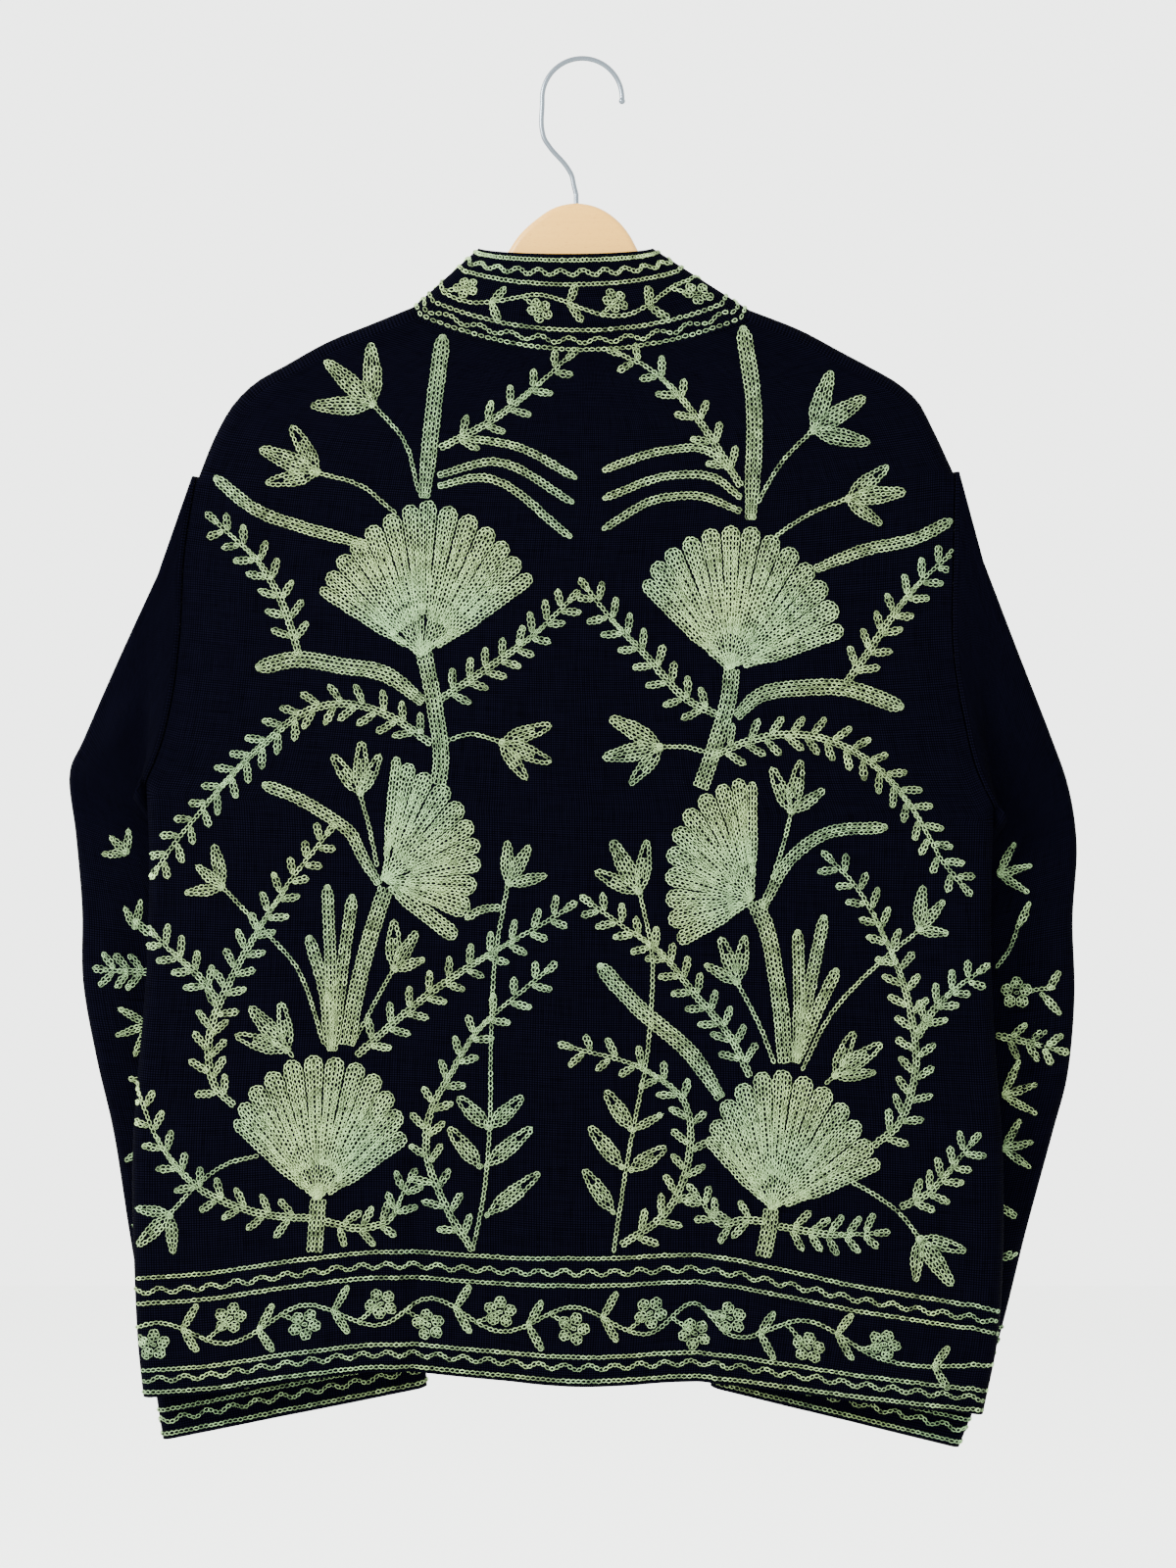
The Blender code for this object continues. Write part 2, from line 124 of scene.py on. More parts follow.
# Collar
COLLAR_TOP_X = mm(-11.5)
COLLAR_HALF_WIDTH = mm(57)
COLLAR_HALF_DEPTH = mm(17)
COLLAR_OVAL = 0.8
COLLAR_SIDE_Z = mm(-123)
COLLAR_BACK_DIP = mm(7)
COLLAR_FRONT_DIP = mm(62)
COLLAR_FRONT_FULLNESS = 4
COLLAR_DEPTH_WEIGHT = 3
COLLAR_ROWS = 10
COLLAR_HEIGHT = mm(63)  # of its embroidered band
COLLAR_ALLOWANCE = mm(2.5)  # the collar's edge that is sewn in behind the panels

# Sleeves, a row for each section: outer edge x, z, inner edge x, z, y of the outer and inner edge, half depth
LEFT_SLEEVE = mm([
    (-278.4, -336, -294, -484, 1, 4, 9.5),
    (-304, -390.4, -283.5, -502, 3, 18, 8.5),
    (-329.6, -444, -274, -519, 13, 22, 8),
    (-340.5, -469, -247, -529, 18, 22, 8),
    (-336.6, -509, -210, -550, 20, 21, 8),
    (-332.8, -558, -173, -580.5, 21, 21, 8),
    (-332.2, -606, -150.4, -622, 21, 21, 7.5),
    (-323.2, -657, -138.9, -667, 21, 21, 7.5),
    (-311.7, -707, -129.3, -718, 21, 21, 7.5),
    (-301.4, -772.5, -117.1, -779, 21, 21, 7.5),
    (-288.6, -849, -107.5, -827, 21, 21, 7.5),
    (-279, -909.4, -103.7, -874.2, 21, 21, 7.5),
])
RIGHT_SLEEVE = mm([
    (262.4, -327.7, 277, -499.5, 1, 4, 9.5),
    (284.8, -385.3, 266, -518, 3, 18, 8.5),
    (309.1, -443, 257, -535, 13, 22, 8),
    (321.9, -478, 230, -545, 18, 22, 8),
    (327.7, -516.5, 192, -566, 20, 21, 8),
    (325.1, -564.5, 155.5, -596.5, 21, 21, 8),
    (326.4, -615.7, 133.1, -638, 21, 21, 7.5),
    (321.9, -667, 121.6, -683, 21, 21, 7.5),
    (311.7, -706.6, 112, -734, 21, 21, 7.5),
    (294.4, -770.6, 99.2, -795, 21, 21, 7.5),
    (273.3, -852.5, 90.2, -839.7, 21, 21, 7.5),
    (249.6, -914.6, 84.5, -874.2, 21, 21, 7.5),
])
SLEEVE_RINGS = 76
SLEEVE_STRAIGHT = mm(4)
SECTIONS_TO_STRAIGHTEN = 3

# Creases, a row for each: start x, y and end x, y in the photograph, sideways bow in pixels,
# half width and height in millimetres (a trough is below nought)
BACK_CREASES = [
    (402, 1130, 394, 1500, 6, 7, 2.4),
    (424, 1200, 418, 1490, 4, 6, -1.8),
    (742, 1150, 738, 1500, -5, 7, 2.2),
    (717, 1210, 716, 1490, -3, 6, -1.6),
    (470, 400, 452, 790, 10, 20, -1.8),
    (700, 410, 738, 830, -12, 22, -1.7),
    (262, 410, 214, 790, 10, 13, 1.7),
    (930, 410, 952, 800, -8, 12, 1.6),
    (150, 812, 345, 985, 12, 11, -2.0),
    (158, 870, 330, 1100, 16, 12, 1.8),
    (1012, 842, 860, 1015, -12, 11, -1.9),
    (1008, 910, 905, 1130, -10, 12, 1.7),
    (556, 560, 596, 1180, 14, 28, 1.5),
    (640, 620, 628, 1120, -8, 18, -1.1),
    (500, 1150, 522, 1500, 5, 11, -1.2),
    (648, 1180, 640, 1500, 4, 12, 1.1),
    (236, 1190, 262, 1520, -6, 10, -1.4),
    (880, 1210, 868, 1540, 6, 11, 1.4),
    (330, 1220, 322, 1500, 3, 9, 1.2),
    (958, 1230, 972, 1530, 4, 8, -1.3),
    (520, 372, 664, 366, -14, 6, -1.3),
    (300, 372, 470, 352, 8, 7, -1.2),
    (720, 352, 880, 380, 8, 7, -1.1),
]
FRONT_CREASES = [
    (300, 372, 470, 470, 10, 11, -1.6),
    (730, 460, 890, 384, 10, 12, -1.5),
    (250, 430, 240, 800, -10, 14, 1.6),
    (940, 440, 930, 820, 8, 13, 1.5),
    (168, 830, 380, 1030, 14, 12, -1.9),
    (996, 860, 800, 1060, -12, 13, -1.8),
    (470, 520, 450, 1180, 12, 18, 1.7),
    (720, 560, 744, 1200, -9, 20, 1.6),
    (388, 1100, 382, 1500, 5, 8, -1.9),
    (794, 1120, 806, 1500, -5, 9, -1.8),
    (270, 1130, 290, 1500, 4, 10, 1.5),
    (905, 1140, 890, 1520, -6, 9, 1.4),
    (520, 980, 536, 1500, 5, 9, -1.4),
    (640, 1000, 632, 1500, 3, 10, -1.3),
]
LEFT_SLEEVE_CREASES = [
    (196, 560, 92, 800, 10, 9, 2.0),
    (182, 650, 118, 812, 6, 7, -2.0),
    (160, 700, 70, 812, -8, 8, 1.8),
    (58, 806, 178, 872, 8, 6, -2.6),
    (66, 842, 190, 930, 8, 7, 2.2),
    (72, 900, 170, 1010, -6, 8, -1.9),
    (96, 880, 132, 1290, 8, 7, 1.8),
    (116, 960, 150, 1400, -6, 6, -1.7),
    (190, 920, 215, 1500, 10, 12, 1.6),
    (270, 930, 282, 1520, -8, 12, -1.6),
    (352, 950, 350, 1500, 6, 11, 1.5),
]
RIGHT_SLEEVE_CREASES = [
    (984, 590, 1086, 820, -10, 9, 1.9),
    (1000, 680, 1058, 830, -6, 7, -2.0),
    (1030, 720, 1112, 850, 8, 7, 1.7),
    (1110, 846, 990, 900, -8, 6, -2.5),
    (1108, 884, 980, 968, -8, 7, 2.1),
    (1106, 960, 1000, 1050, 6, 8, -1.8),
    (1096, 900, 1072, 1240, -7, 7, 1.7),
    (1066, 980, 1040, 1380, 6, 6, -1.8),
    (960, 930, 936, 1500, -9, 12, 1.6),
    (880, 950, 866, 1520, 8, 12, -1.5),
    (800, 970, 804, 1500, -6, 11, 1.6),
]
CREASE_END = 0.28  # the share of a crease over which it rises at either end
CREASE_CLEAR = mm(14)  # creases fade out this far from a sewn edge


def through(knots, rows, at):
    """Points at the places `at` on the smooth curve that passes through the rows at their knots."""
    slopes = np.gradient(rows, knots, axis=0)
    i = np.clip(np.searchsorted(knots, at, side="right") - 1, 0, len(knots) - 2)
    span = (knots[i + 1] - knots[i])[:, None]
    t = (at[:, None] - knots[i][:, None]) / span
    return (
        rows[i] * (1 + 2 * t) * (1 - t) ** 2
        + slopes[i] * span * t * (1 - t) ** 2
        + rows[i + 1] * t**2 * (3 - 2 * t)
        + slopes[i + 1] * span * t**2 * (t - 1)
    )


def lengths(path):
    """How far each point of a path lies from its start, along the path."""
    steps = np.linalg.norm(np.diff(path, axis=0), axis=1)
    return np.concatenate([[0], np.cumsum(steps)])


def along(path, fractions):
    """Points at these fractions of the length of the smooth curve through a path."""
    knots = lengths(path)
    return through(knots, path, np.asarray(fractions) * knots[-1])


def unit(vectors):
    return vectors / np.maximum(np.linalg.norm(vectors, axis=-1, keepdims=True), 1e-12)


def smooth_step(t):
    t = np.clip(t, 0, 1)
    return t * t * (3 - 2 * t)


def with_y(points, y):
    return np.stack([points[..., 0], np.broadcast_to(y, points.shape[:-1]), points[..., 1]], axis=-1)


def fold_offsets():
    """Distances from a folded edge at which a round fold is sampled."""
    return FOLD_RADIUS * (1 - np.cos(FOLD_ANGLES))


def fold(distance):
    """0 on a folded edge, rising round a quarter circle to 1 at the fold's radius and beyond."""
    t = np.clip(distance / FOLD_RADIUS, 0, 1)
    return np.sqrt(1 - (1 - t) ** 2)


def distance_to(points, path):
    """The distance from each (x, z) point to a path of straight runs."""
    start, run = path[:-1], np.diff(path, axis=0)
    away = points[..., None, :] - start
    t = np.clip((away * run).sum(-1) / (run**2).sum(-1), 0, 1)
    return np.linalg.norm(away - t[..., None] * run, axis=-1).min(-1)


def fall(z):
    """0 at the neck and 1 at the hem."""
    return (NECK_Z - z) / (NECK_Z - HEM_Z)


def body_depth(z):
    """Half of the body's depth at a height."""
    return DEPTH_TOP + (DEPTH_HEM - DEPTH_TOP) * np.clip(fall(z), 0, 1)


def armhole_fractions(length):
    """Rows along an armhole: close together at its two ends, where it rounds into the folded edges."""
    ends = fold_offsets() / length
    middle = np.linspace(ends[-1], 1 - ends[-1], ARMHOLE_ROWS + 1)[1:-1]
    return np.concatenate([ends, middle, 1 - ends[::-1]])


def edge_of(shoulder, armhole, side, inwards):
    """One edge of the body from neck to hem, its normals into the cloth, and the rows along its armhole."""
    fractions = armhole_fractions(lengths(armhole)[-1])
    parts = [
        along(shoulder, np.linspace(0, 1, SHOULDER_ROWS + 1)[:-1]),
        along(armhole, fractions),
        along(side, np.linspace(0, 1, SIDE_ROWS + 1)[1:]),
    ]
    points = np.concatenate(parts)
    tangents = unit(np.gradient(points, lengths(points), axis=0))
    normals = np.stack([-tangents[:, 1], tangents[:, 0]], axis=1) * inwards
    return points, normals, slice(SHOULDER_ROWS, SHOULDER_ROWS + len(fractions))


def folded_strip(points, normals):
    """The strip of a panel next to its edge, a column for each sample of the round fold."""
    return points[:, None] + normals[:, None] * fold_offsets()[None, :, None]


CLOSED_EDGES = [
    along(path, np.linspace(0, 1, CLOSED_EDGE_POINTS))
    for path in (LEFT_SHOULDER, LEFT_SIDE, RIGHT_SHOULDER, RIGHT_SIDE)
]
ARMHOLES = [along(path, np.linspace(0, 1, CLOSED_EDGE_POINTS)) for path in (LEFT_ARMHOLE, RIGHT_ARMHOLE)]


def half_depth(points):
    """How far the outer face stands from the middle plane: next to nothing on a closed edge."""
    distance = np.min([distance_to(points, path) for path in CLOSED_EDGES], axis=0)
    return SEAM_HALF + (body_depth(points[..., 1]) - SEAM_HALF) * fold(distance)


def middle_step(points):
    """The cloth between the two folds at the hem falls back, and the step fades out upwards."""
    x, z = points[..., 0], points[..., 1]
    from_left, from_right = (x - FOLD_LEFT_X) / FOLD_SOFTNESS, (FOLD_RIGHT_X - x) / FOLD_SOFTNESS
    inside = 1 / (1 + np.exp(-from_left)) / (1 + np.exp(-from_right))
    return FOLD_STEP * inside * smooth_step((FOLD_TOP_Z - z) / (FOLD_TOP_Z - FOLD_FULL_Z))


def relief(points, creases):
    """Soft ridges and troughs: each a bell across its bowed line, rising and dying away along it."""
    total = np.zeros(points.shape[:-1])
    for x0, y0, x1, y1, bow, width, height in creases:
        start, end = photo([(x0, y0), (x1, y1)])
        run = end - start
        length = np.hypot(*run)
        away = points - start
        t = (away @ run) / length**2
        across = (away @ np.array([-run[1], run[0]])) / length - bow * PIXEL * 4 * t * (1 - t)
        reach = smooth_step(t / CREASE_END) * smooth_step((1 - t) / CREASE_END)
        total += mm(height) * np.exp(-((across / mm(width)) ** 2)) * reach
    return total


def sewn_fade(points):
    """0 on the body's sewn edges and 1 where the cloth between them is free."""
    distance = np.min([distance_to(points, path) for path in CLOSED_EDGES + ARMHOLES], axis=0)
    return smooth_step(distance / CREASE_CLEAR)


def back_y(points):
    """The back's outer face, towards -Y."""
    return middle_step(points) - half_depth(points) - relief(points, BACK_CREASES) * sewn_fade(points)


def front_y(points):
    """The fronts' outer face, towards +Y."""
    return half_depth(points) + relief(points, FRONT_CREASES) * sewn_fade(points)


def back_panel(left, right):
    """Straight rows from edge to edge, with the neck's dip fading downwards and the hem's shape upwards."""
    strip_left = folded_strip(left[0], left[1])
    strip_right = folded_strip(right[0], right[1])[:, ::-1]
    start, end = strip_left[:, -1:], strip_right[:, :1]
    u = np.linspace(0, 1, BACK_COLUMNS + 1)[1:-1]
    inner = start + (end - start) * u[None, :, None]
    v = np.clip(fall(inner[..., 1]), 0, 1)
    v[0] = 0
    hem = through(HEM[:, 0], HEM[:, 1:], inner[-1, :, 0])[:, 0] - inner[-1, :, 1]
    dip = NECK_DIP * 4 * u * (1 - u)
    inner[..., 1] += hem * v**HEM_FADE - dip * (1 - v) ** NECK_FADE
    points = np.concatenate([strip_left, inner, strip_right], axis=1)
    return with_y(points, back_y(points))


def front_panel(edge, side):
    """One front, from the body's edge to the front opening. side is -1 on the left as seen from the back."""
    strip = folded_strip(edge[0], edge[1])
    lift_share = (fall(strip[..., 1]) - FRONT_LIFT_FROM) / (1 - FRONT_LIFT_FROM)
    strip[..., 1] += smooth_step(lift_share) * FRONT_LIFT
    start = strip[:, -1:]
    v = np.clip(fall(start[..., 1]), 0, 1)
    v[0] = 0
    opening = np.empty_like(start)
    opening[..., 0] = FRONT_X + side * FRONT_GAP / 2
    opening[..., 1] = FRONT_NECK_Z + (HEM_Z + FRONT_LIFT * 2 - FRONT_NECK_Z) * v
    u = np.linspace(0, 1, FRONT_COLUMNS + 1)[1:]
    turn = np.stack([1 - np.cos(u * np.pi / 2), np.sin(u * np.pi / 2)], axis=-1) - u[:, None]
    fade = (1 - v[..., None]) ** NECK_CURVE_FADE
    inner = start + (opening - start) * (u[None, :, None] + turn[None] * fade)
    points = np.concatenate([strip, inner], axis=1)
    return with_y(points, front_y(points))


def sleeve_tube(edge, sections, creases):
    """Flattened rings. The first two follow the armhole, and the others a smooth run through the sections."""
    armhole = edge[0][edge[2]]
    chord = armhole[-1] - armhole[0]
    outwards = unit(np.array([chord[1], -chord[0]])) * np.sign(armhole[0, 0] * chord[1])
    s = lengths(armhole)
    q = s / s[-1]
    rounding = fold(np.minimum(s, s[-1] - s))
    bend = armhole - (armhole[0] + chord * q[:, None])
    half = body_depth(armhole[:, 1])
    rings = [(armhole + outwards * gap, 0 * q, half, 0) for gap in (SEAM_GAP, SLEEVE_STRAIGHT)]
    at = np.linspace(0, len(sections) - 1, SLEEVE_RINGS)
    for place, row in zip(at, through(np.arange(len(sections)), sections, at)):
        left = max(0, 1 - (place + 1) / SECTIONS_TO_STRAIGHTEN)
        line = row[:2] + (row[2:4] - row[:2]) * q[:, None] + bend * left
        centre = row[4] + (row[5] - row[4]) * smooth_step(q)
        rings.append((line, centre, row[6] + (half - row[6]) * left, smooth_step(place / 2)))
    near, far = [], []
    for line, centre, depth, freedom in rings:
        crease = relief(line, creases) * freedom * rounding
        near.append(with_y(line, centre - depth * rounding - crease))
        far.append(with_y(line, centre + depth * rounding - crease))
    return np.concatenate([np.stack(near), np.stack(far)[:, -2:0:-1]], axis=1)


def collar_band(back, front_left, front_right):
    """From the neck edges of the three panels up to an oval top edge, open at the front."""
    base = np.concatenate([front_left[0, :0:-1], back[0], front_right[0, 1:]])
    turn = lengths(base[:, :2] * (1, COLLAR_DEPTH_WEIGHT))
    share = turn / turn[-1]
    sides = [len(front_left[0]) - 1, len(front_left[0]) + len(back[0]) - 2]
    angle = np.interp(share, [0, share[sides[0]], share[sides[1]], 1], [-0.5, 0, 1, 1.5]) * np.pi
    backwards = np.sin(angle)
    front_dip = COLLAR_FRONT_DIP * backwards**COLLAR_FRONT_FULLNESS
    top = np.stack([
        COLLAR_TOP_X - COLLAR_HALF_WIDTH * np.cos(angle),
        -COLLAR_HALF_DEPTH * np.sign(backwards) * abs(backwards) ** COLLAR_OVAL,
        COLLAR_SIDE_Z - np.where(backwards > 0, COLLAR_BACK_DIP * backwards, front_dip),
    ], axis=1)
    top[[0, -1], 0] = base[[0, -1], 0]
    rise = top - base
    base = base + unit(rise) * SEAM_GAP
    v = np.linspace(0, 1, COLLAR_ROWS + 1)[:, None, None]
    return base + (top - base) * v


# Materials


def srgb(code):
    """A linear colour from an sRGB hex value."""
    shares = np.array([int(code[i:i + 2], 16) for i in (1, 3, 5)]) / 255
    linear = np.where(shares <= 0.04045, shares / 12.92, ((shares + 0.055) / 1.055) ** 2.4)
    return (*linear.tolist(), 1.0)


def fill(tree, node, inputs):
    """Gives each socket, by its name or number, a value or another node's output."""
    for key, value in inputs.items():
        if isinstance(value, bpy.types.NodeSocket):
            tree.links.new(value, node.inputs[key])
        else:
            node.inputs[key].default_value = value


def add_node(tree, kind, inputs=None, output=0, **settings):
    """The chosen output of a new node with these settings and filled sockets."""
    made = tree.nodes.new(kind)
    for key, value in settings.items():
        setattr(made, key, value)
    fill(tree, made, inputs or {})
    return made.outputs[output]


def calculate(tree, operation, *values):
    return add_node(tree, "ShaderNodeMath", dict(enumerate(values)), operation=operation)


def noise(tree, vector, scale, detail, distortion=0.0):
    inputs = {"Vector": vector, "Scale": float(scale), "Detail": detail, "Distortion": distortion}
    return add_node(tree, "ShaderNodeTexNoise", inputs, "Fac")


def scaled(tree, vector, scales):
    """The vector with each of its axes at its own scale."""
    inputs = {"Vector": vector, "Scale": [float(scale) for scale in scales]}
    return add_node(tree, "ShaderNodeMapping", inputs)


def between(tree, value, low, high):
    """0 where the value is low and 1 where it is high."""
    return add_node(tree, "ShaderNodeMapRange", {"Value": value, "From Min": low, "From Max": high})


def mixed(tree, share, first, second):
    """The first colour at a share of 0 and the second at 1."""
    return add_node(tree, "ShaderNodeMix", {0: share, 6: first, 7: second}, 2, data_type="RGBA")


def bumped(tree, height, strength, distance):
    return add_node(tree, "ShaderNodeBump", {"Height": height, "Strength": strength, "Distance": distance})


def new_material(name):
    """An empty material, its node tree and its Principled shader."""
    made = bpy.data.materials.new(name)
    made.use_nodes = True
    return made, made.node_tree, made.node_tree.nodes["Principled BSDF"]


WAVE_PERIOD = 0.31416  # of Blender's wave texture at a scale of 1, in its own units
THREAD_PITCH = mm(1.5)  # the real cloth has about 0.9; drawn coarser so that it shows in the render
SLUB_LENGTH = mm(22)
SLUB_WIDTH = mm(1.6)


def dark_slub_cloth():
    """Plain-woven cotton with uneven slub yarns, dyed blue-black: matt, faintly gridded by its threads."""
    made, tree, shader = new_material("dark_slub_cloth")
    uv = add_node(tree, "ShaderNodeUVMap", uv_map="threads")
    threads = {"Vector": uv, "Scale": float(WAVE_PERIOD / THREAD_PITCH), "Distortion": 1.2, "Detail": 1.0,
               "Detail Scale": 0.4}
    warp, weft = [add_node(tree, "ShaderNodeTexWave", threads, "Fac", bands_direction=way) for way in "XY"]
    nubs = calculate(tree, "MULTIPLY", warp, weft)
    ways = ((1 / SLUB_LENGTH, 1 / SLUB_WIDTH, 1), (1 / SLUB_WIDTH, 1 / SLUB_LENGTH, 1))
    slubs = calculate(tree, "MULTIPLY", *[noise(tree, scaled(tree, uv, way), 1.0, 2.0) for way in ways])
    light = between(tree, calculate(tree, "MULTIPLY", slubs, nubs), 0.02, 0.14)
    fill(tree, shader, {
        "Base Color": mixed(tree, light, srgb("#000001"), srgb("#04040d")),
        "Normal": bumped(tree, calculate(tree, "ADD", nubs, slubs), 0.5, 0.0004),
        "Roughness": 0.95,
        "Specular IOR Level": 0.01,
    })
    return made


YARN_FIBRE = mm(0.35)
YARN_DRIFT = mm(70)  # over which the dye drifts from yellower to bluer


def sage_wool_yarn():
    """Two-ply wool, dyed sage in small lots: matt and fuzzy, with painted light on the crowns of its loops
    and painted shade in the hollows between them.
    """
    made, tree, shader = new_material("sage_wool_yarn")
    tone = add_node(tree, "ShaderNodeAttribute", None, "Fac", attribute_name="tone")
    place = add_node(tree, "ShaderNodeTexCoord", None, "Object")
    fibre = noise(tree, place, 1 / YARN_FIBRE, 2.0)
    lot = between(tree, noise(tree, place, 1 / YARN_DRIFT, 1.0), 0.35, 0.65)
    lit = between(tree, calculate(tree, "MULTIPLY_ADD", fibre, 0.5, tone), 0.15, 1.35)
    # Painted shade: a near-black colour for the hollows between loops. Painted light: a pale colour for their
    # crowns. The tone attribute blends them, and the dye lot shifts both.
    painted_hollow_shade = mixed(tree, lot, srgb("#12180c"), srgb("#0e1710"))
    painted_loop_light = mixed(tree, lot, srgb("#c4e398"), srgb("#b2de9f"))
    fill(tree, shader, {
        "Base Color": mixed(tree, calculate(tree, "POWER", lit, 2.2), painted_hollow_shade, painted_loop_light),
        "Normal": bumped(tree, fibre, 0.4, 0.0003),
        "Roughness": 0.9,
        "Specular IOR Level": 0.25,
        "Sheen Weight": 0.25,
        "Sheen Roughness": 0.4,
        "Sheen Tint": srgb("#e4efce"),
    })
    return made


GRAIN = mm([60, 2.2, 2.2])  # the size of a streak along the grain and across it
FLECK = mm([3, 0.5, 0.5])


def lacquered_beech():
    """Planed beech under clear lacquer: pale straw with long soft grain, short flecks and a low gloss."""
    made, tree, shader = new_material("lacquered_beech")
    place = add_node(tree, "ShaderNodeTexCoord", None, "Object")
    grain = noise(tree, scaled(tree, place, 1 / GRAIN), 1.0, 3.0, 0.3)
    flecks = between(tree, noise(tree, scaled(tree, place, 1 / FLECK), 1.0, 1.0), 0.62, 0.78)
    wood = mixed(tree, grain, srgb("#b98a2c"), srgb("#ad7d22"))
    fill(tree, shader, {
        "Base Color": mixed(tree, flecks, wood, srgb("#8c5c18")),
        "Normal": bumped(tree, grain, 0.15, 0.0002),
        "Roughness": 0.42,
        "IOR": 1.5,
        "Coat Weight": 0.25,
        "Coat Roughness": 0.3,
    })
    return made


CLOUDING = mm(0.6)


def zinc_plated_wire():
    """Drawn steel wire with bright zinc plating: cool grey, fairly glossy, with faint cloudy dulling."""
    made, tree, shader = new_material("zinc_plated_wire")
    cloud = noise(tree, add_node(tree, "ShaderNodeTexCoord", None, "Object"), 1 / CLOUDING, 2.0)
    fill(tree, shader, {
        "Base Color": mixed(tree, cloud, srgb("#737b82"), srgb("#4d555c")),
        "Roughness": add_node(tree, "ShaderNodeMapRange", {"Value": cloud, "To Min": 0.22, "To Max": 0.42}),
        "Metallic": 1.0,
    })
    return made


def pale_floor_paint():
    """Matt emulsion on the studio floor."""
    made, tree, shader = new_material("pale_floor_paint")
    fill(tree, shader, {"Base Color": srgb("#f2f3f1"), "Roughness": 0.9})
    return made


# Meshes


def new_mesh(name, points, quads, finish):
    """An object at the origin from whole arrays of points and four-cornered faces, riding the one body."""
    mesh = bpy.data.meshes.new(name)
    mesh.vertices.add(len(points))
    mesh.vertices.foreach_set("co", np.ascontiguousarray(points, dtype=np.float32).ravel())
    mesh.loops.add(quads.size)
    mesh.loops.foreach_set("vertex_index", quads.astype(np.int32).ravel())
    mesh.polygons.add(len(quads))
    mesh.polygons.foreach_set("loop_start", np.arange(0, quads.size, 4, dtype=np.int32))
    mesh.update(calc_edges=True)
    mesh.validate()
    mesh.shade_smooth()
    made = bpy.data.objects.new(name, mesh)
    mesh.materials.append(finish)
    bpy.context.scene.collection.objects.link(made)
    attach(made, "root")
    return made


def grid_quads(rows, columns, ring, flip):
    """Faces between neighbours on a grid, and the same corners as unwrapped (row, column) places."""
    row, column = np.meshgrid(np.arange(rows - 1), np.arange(columns if ring else columns - 1), indexing="ij")
    corners = [(row, column), (row, column + 1), (row + 1, column + 1), (row + 1, column)]
    if flip:
        corners = corners[::-1]
    rows_of = np.stack([r.ravel() for r, c in corners], axis=1)
    columns_of = np.stack([c.ravel() for r, c in corners], axis=1)
    return rows_of * columns + columns_of % columns, rows_of, columns_of


def cloth(name, grid, finish, node, ring=False, flip=False):
    """A cloth wall on a grid of points, its thickness inwards, with a map of its threads in metres."""
    quads, rows_of, columns_of = grid_quads(*grid.shape[:2], ring, flip)
    made = new_mesh(name, grid.reshape(-1, 3), quads, finish)
    closed = np.concatenate([grid, grid[:, :1]], axis=1) if ring else grid
    across = np.mean([lengths(row) for row in closed], axis=0)
    down = np.mean([lengths(grid[:, c]) for c in range(grid.shape[1])], axis=0)
    uv = made.data.uv_layers.new(name="threads")
    places = np.stack([across[columns_of], down[rows_of]], axis=-1)
    uv.data.foreach_set("uv", places.astype(np.float32).ravel())
    wall = made.modifiers.new("Wall", "SOLIDIFY")
    wall.thickness = WALL
    wall.offset = -1
    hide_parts(node)
    return made


# Embroidery

STITCH = mm(3.3)  # from one loop of the chain to the next
ROW = mm(2.6)  # between two rows of chain side by side
LOOP_WIDTH = mm(2.75)
LOOP_OVERLAP = 1.38  # a loop's length in stitches: its narrow end starts inside the one before
YARN_HALF = mm(0.43)
YARN_HEIGHT = mm(0.9)
YARN_SUNK = mm(0.35)  # the yarn's feet are this far in the cloth
LOOP_POINTS = 6
LOOP_DROP = 0.32  # how much narrower a loop is where it leaves the one before
LOOP_RIDE = 0.35  # how much higher that end rides over the one before
HAND_WANDER = mm(0.12)  # the spread of each stitch's place
PAINTED_FOOT_SHADE_AND_CROWN_LIGHT = [-0.45, 0.3, -0.45]  # painted shade added to a loop's two feet, where the yarn sinks between loops, and painted light added to its crown
FAN_TONE = 0.62  # the fans' yarn is a little paler and yellower than the rest
REST_TONE = 0.5
TONE_SPREAD = 0.16
NUDGE = mm(0.5)  # how far off a chart is asked again, for a direction or a slope
PATH_STEP = mm(2)  # between the points of a smooth path


def loop_template():
    """One loop of chain stitch, lying along +a, as rings of foot, crown and foot round a drop shape.

    The drop is narrow where it leaves the loop before, and its start rides over that loop's end.
    """
    turn = (np.arange(LOOP_POINTS) + 0.5) / LOOP_POINTS * 2 * np.pi
    a, b = np.cos(turn) / 2, np.sin(turn) / 2 * (1 + LOOP_DROP * np.cos(turn))
    outward = unit(np.stack([np.cos(turn), np.sin(turn)], axis=1))
    over = 1 - LOOP_RIDE * np.cos(turn)
    return a, b, outward, over


def chain_rows(paths, tone=REST_TONE):
    """Stitches at even steps along each path: middle, direction, length, width and tone."""
    parts = []
    for path in paths:
        knots = lengths(path)
        count = max(1, int(round(knots[-1] / STITCH)))
        ends = np.linspace(0, knots[-1], count + 1)
        x = np.stack([np.interp(ends, knots, path[:, k]) for k in (0, 1)], axis=1)
        step = np.diff(x, axis=0)
        parts.append(np.column_stack([
            (x[:-1] + x[1:]) / 2,
            unit(step),
            np.linalg.norm(step, axis=1) * LOOP_OVERLAP,
            np.full(count, LOOP_WIDTH),
            np.clip(rng.normal(tone, TONE_SPREAD, count), 0, 1),
        ]))
    rows = np.concatenate(parts)
    count = len(rows)
    rows[:, :2] += rng.normal(0, HAND_WANDER, (count, 2))
    rows[:, 4] *= rng.uniform(0.92, 1.08, count)
    rows[:, 5] *= rng.uniform(0.88, 1.12, count)
    return rows


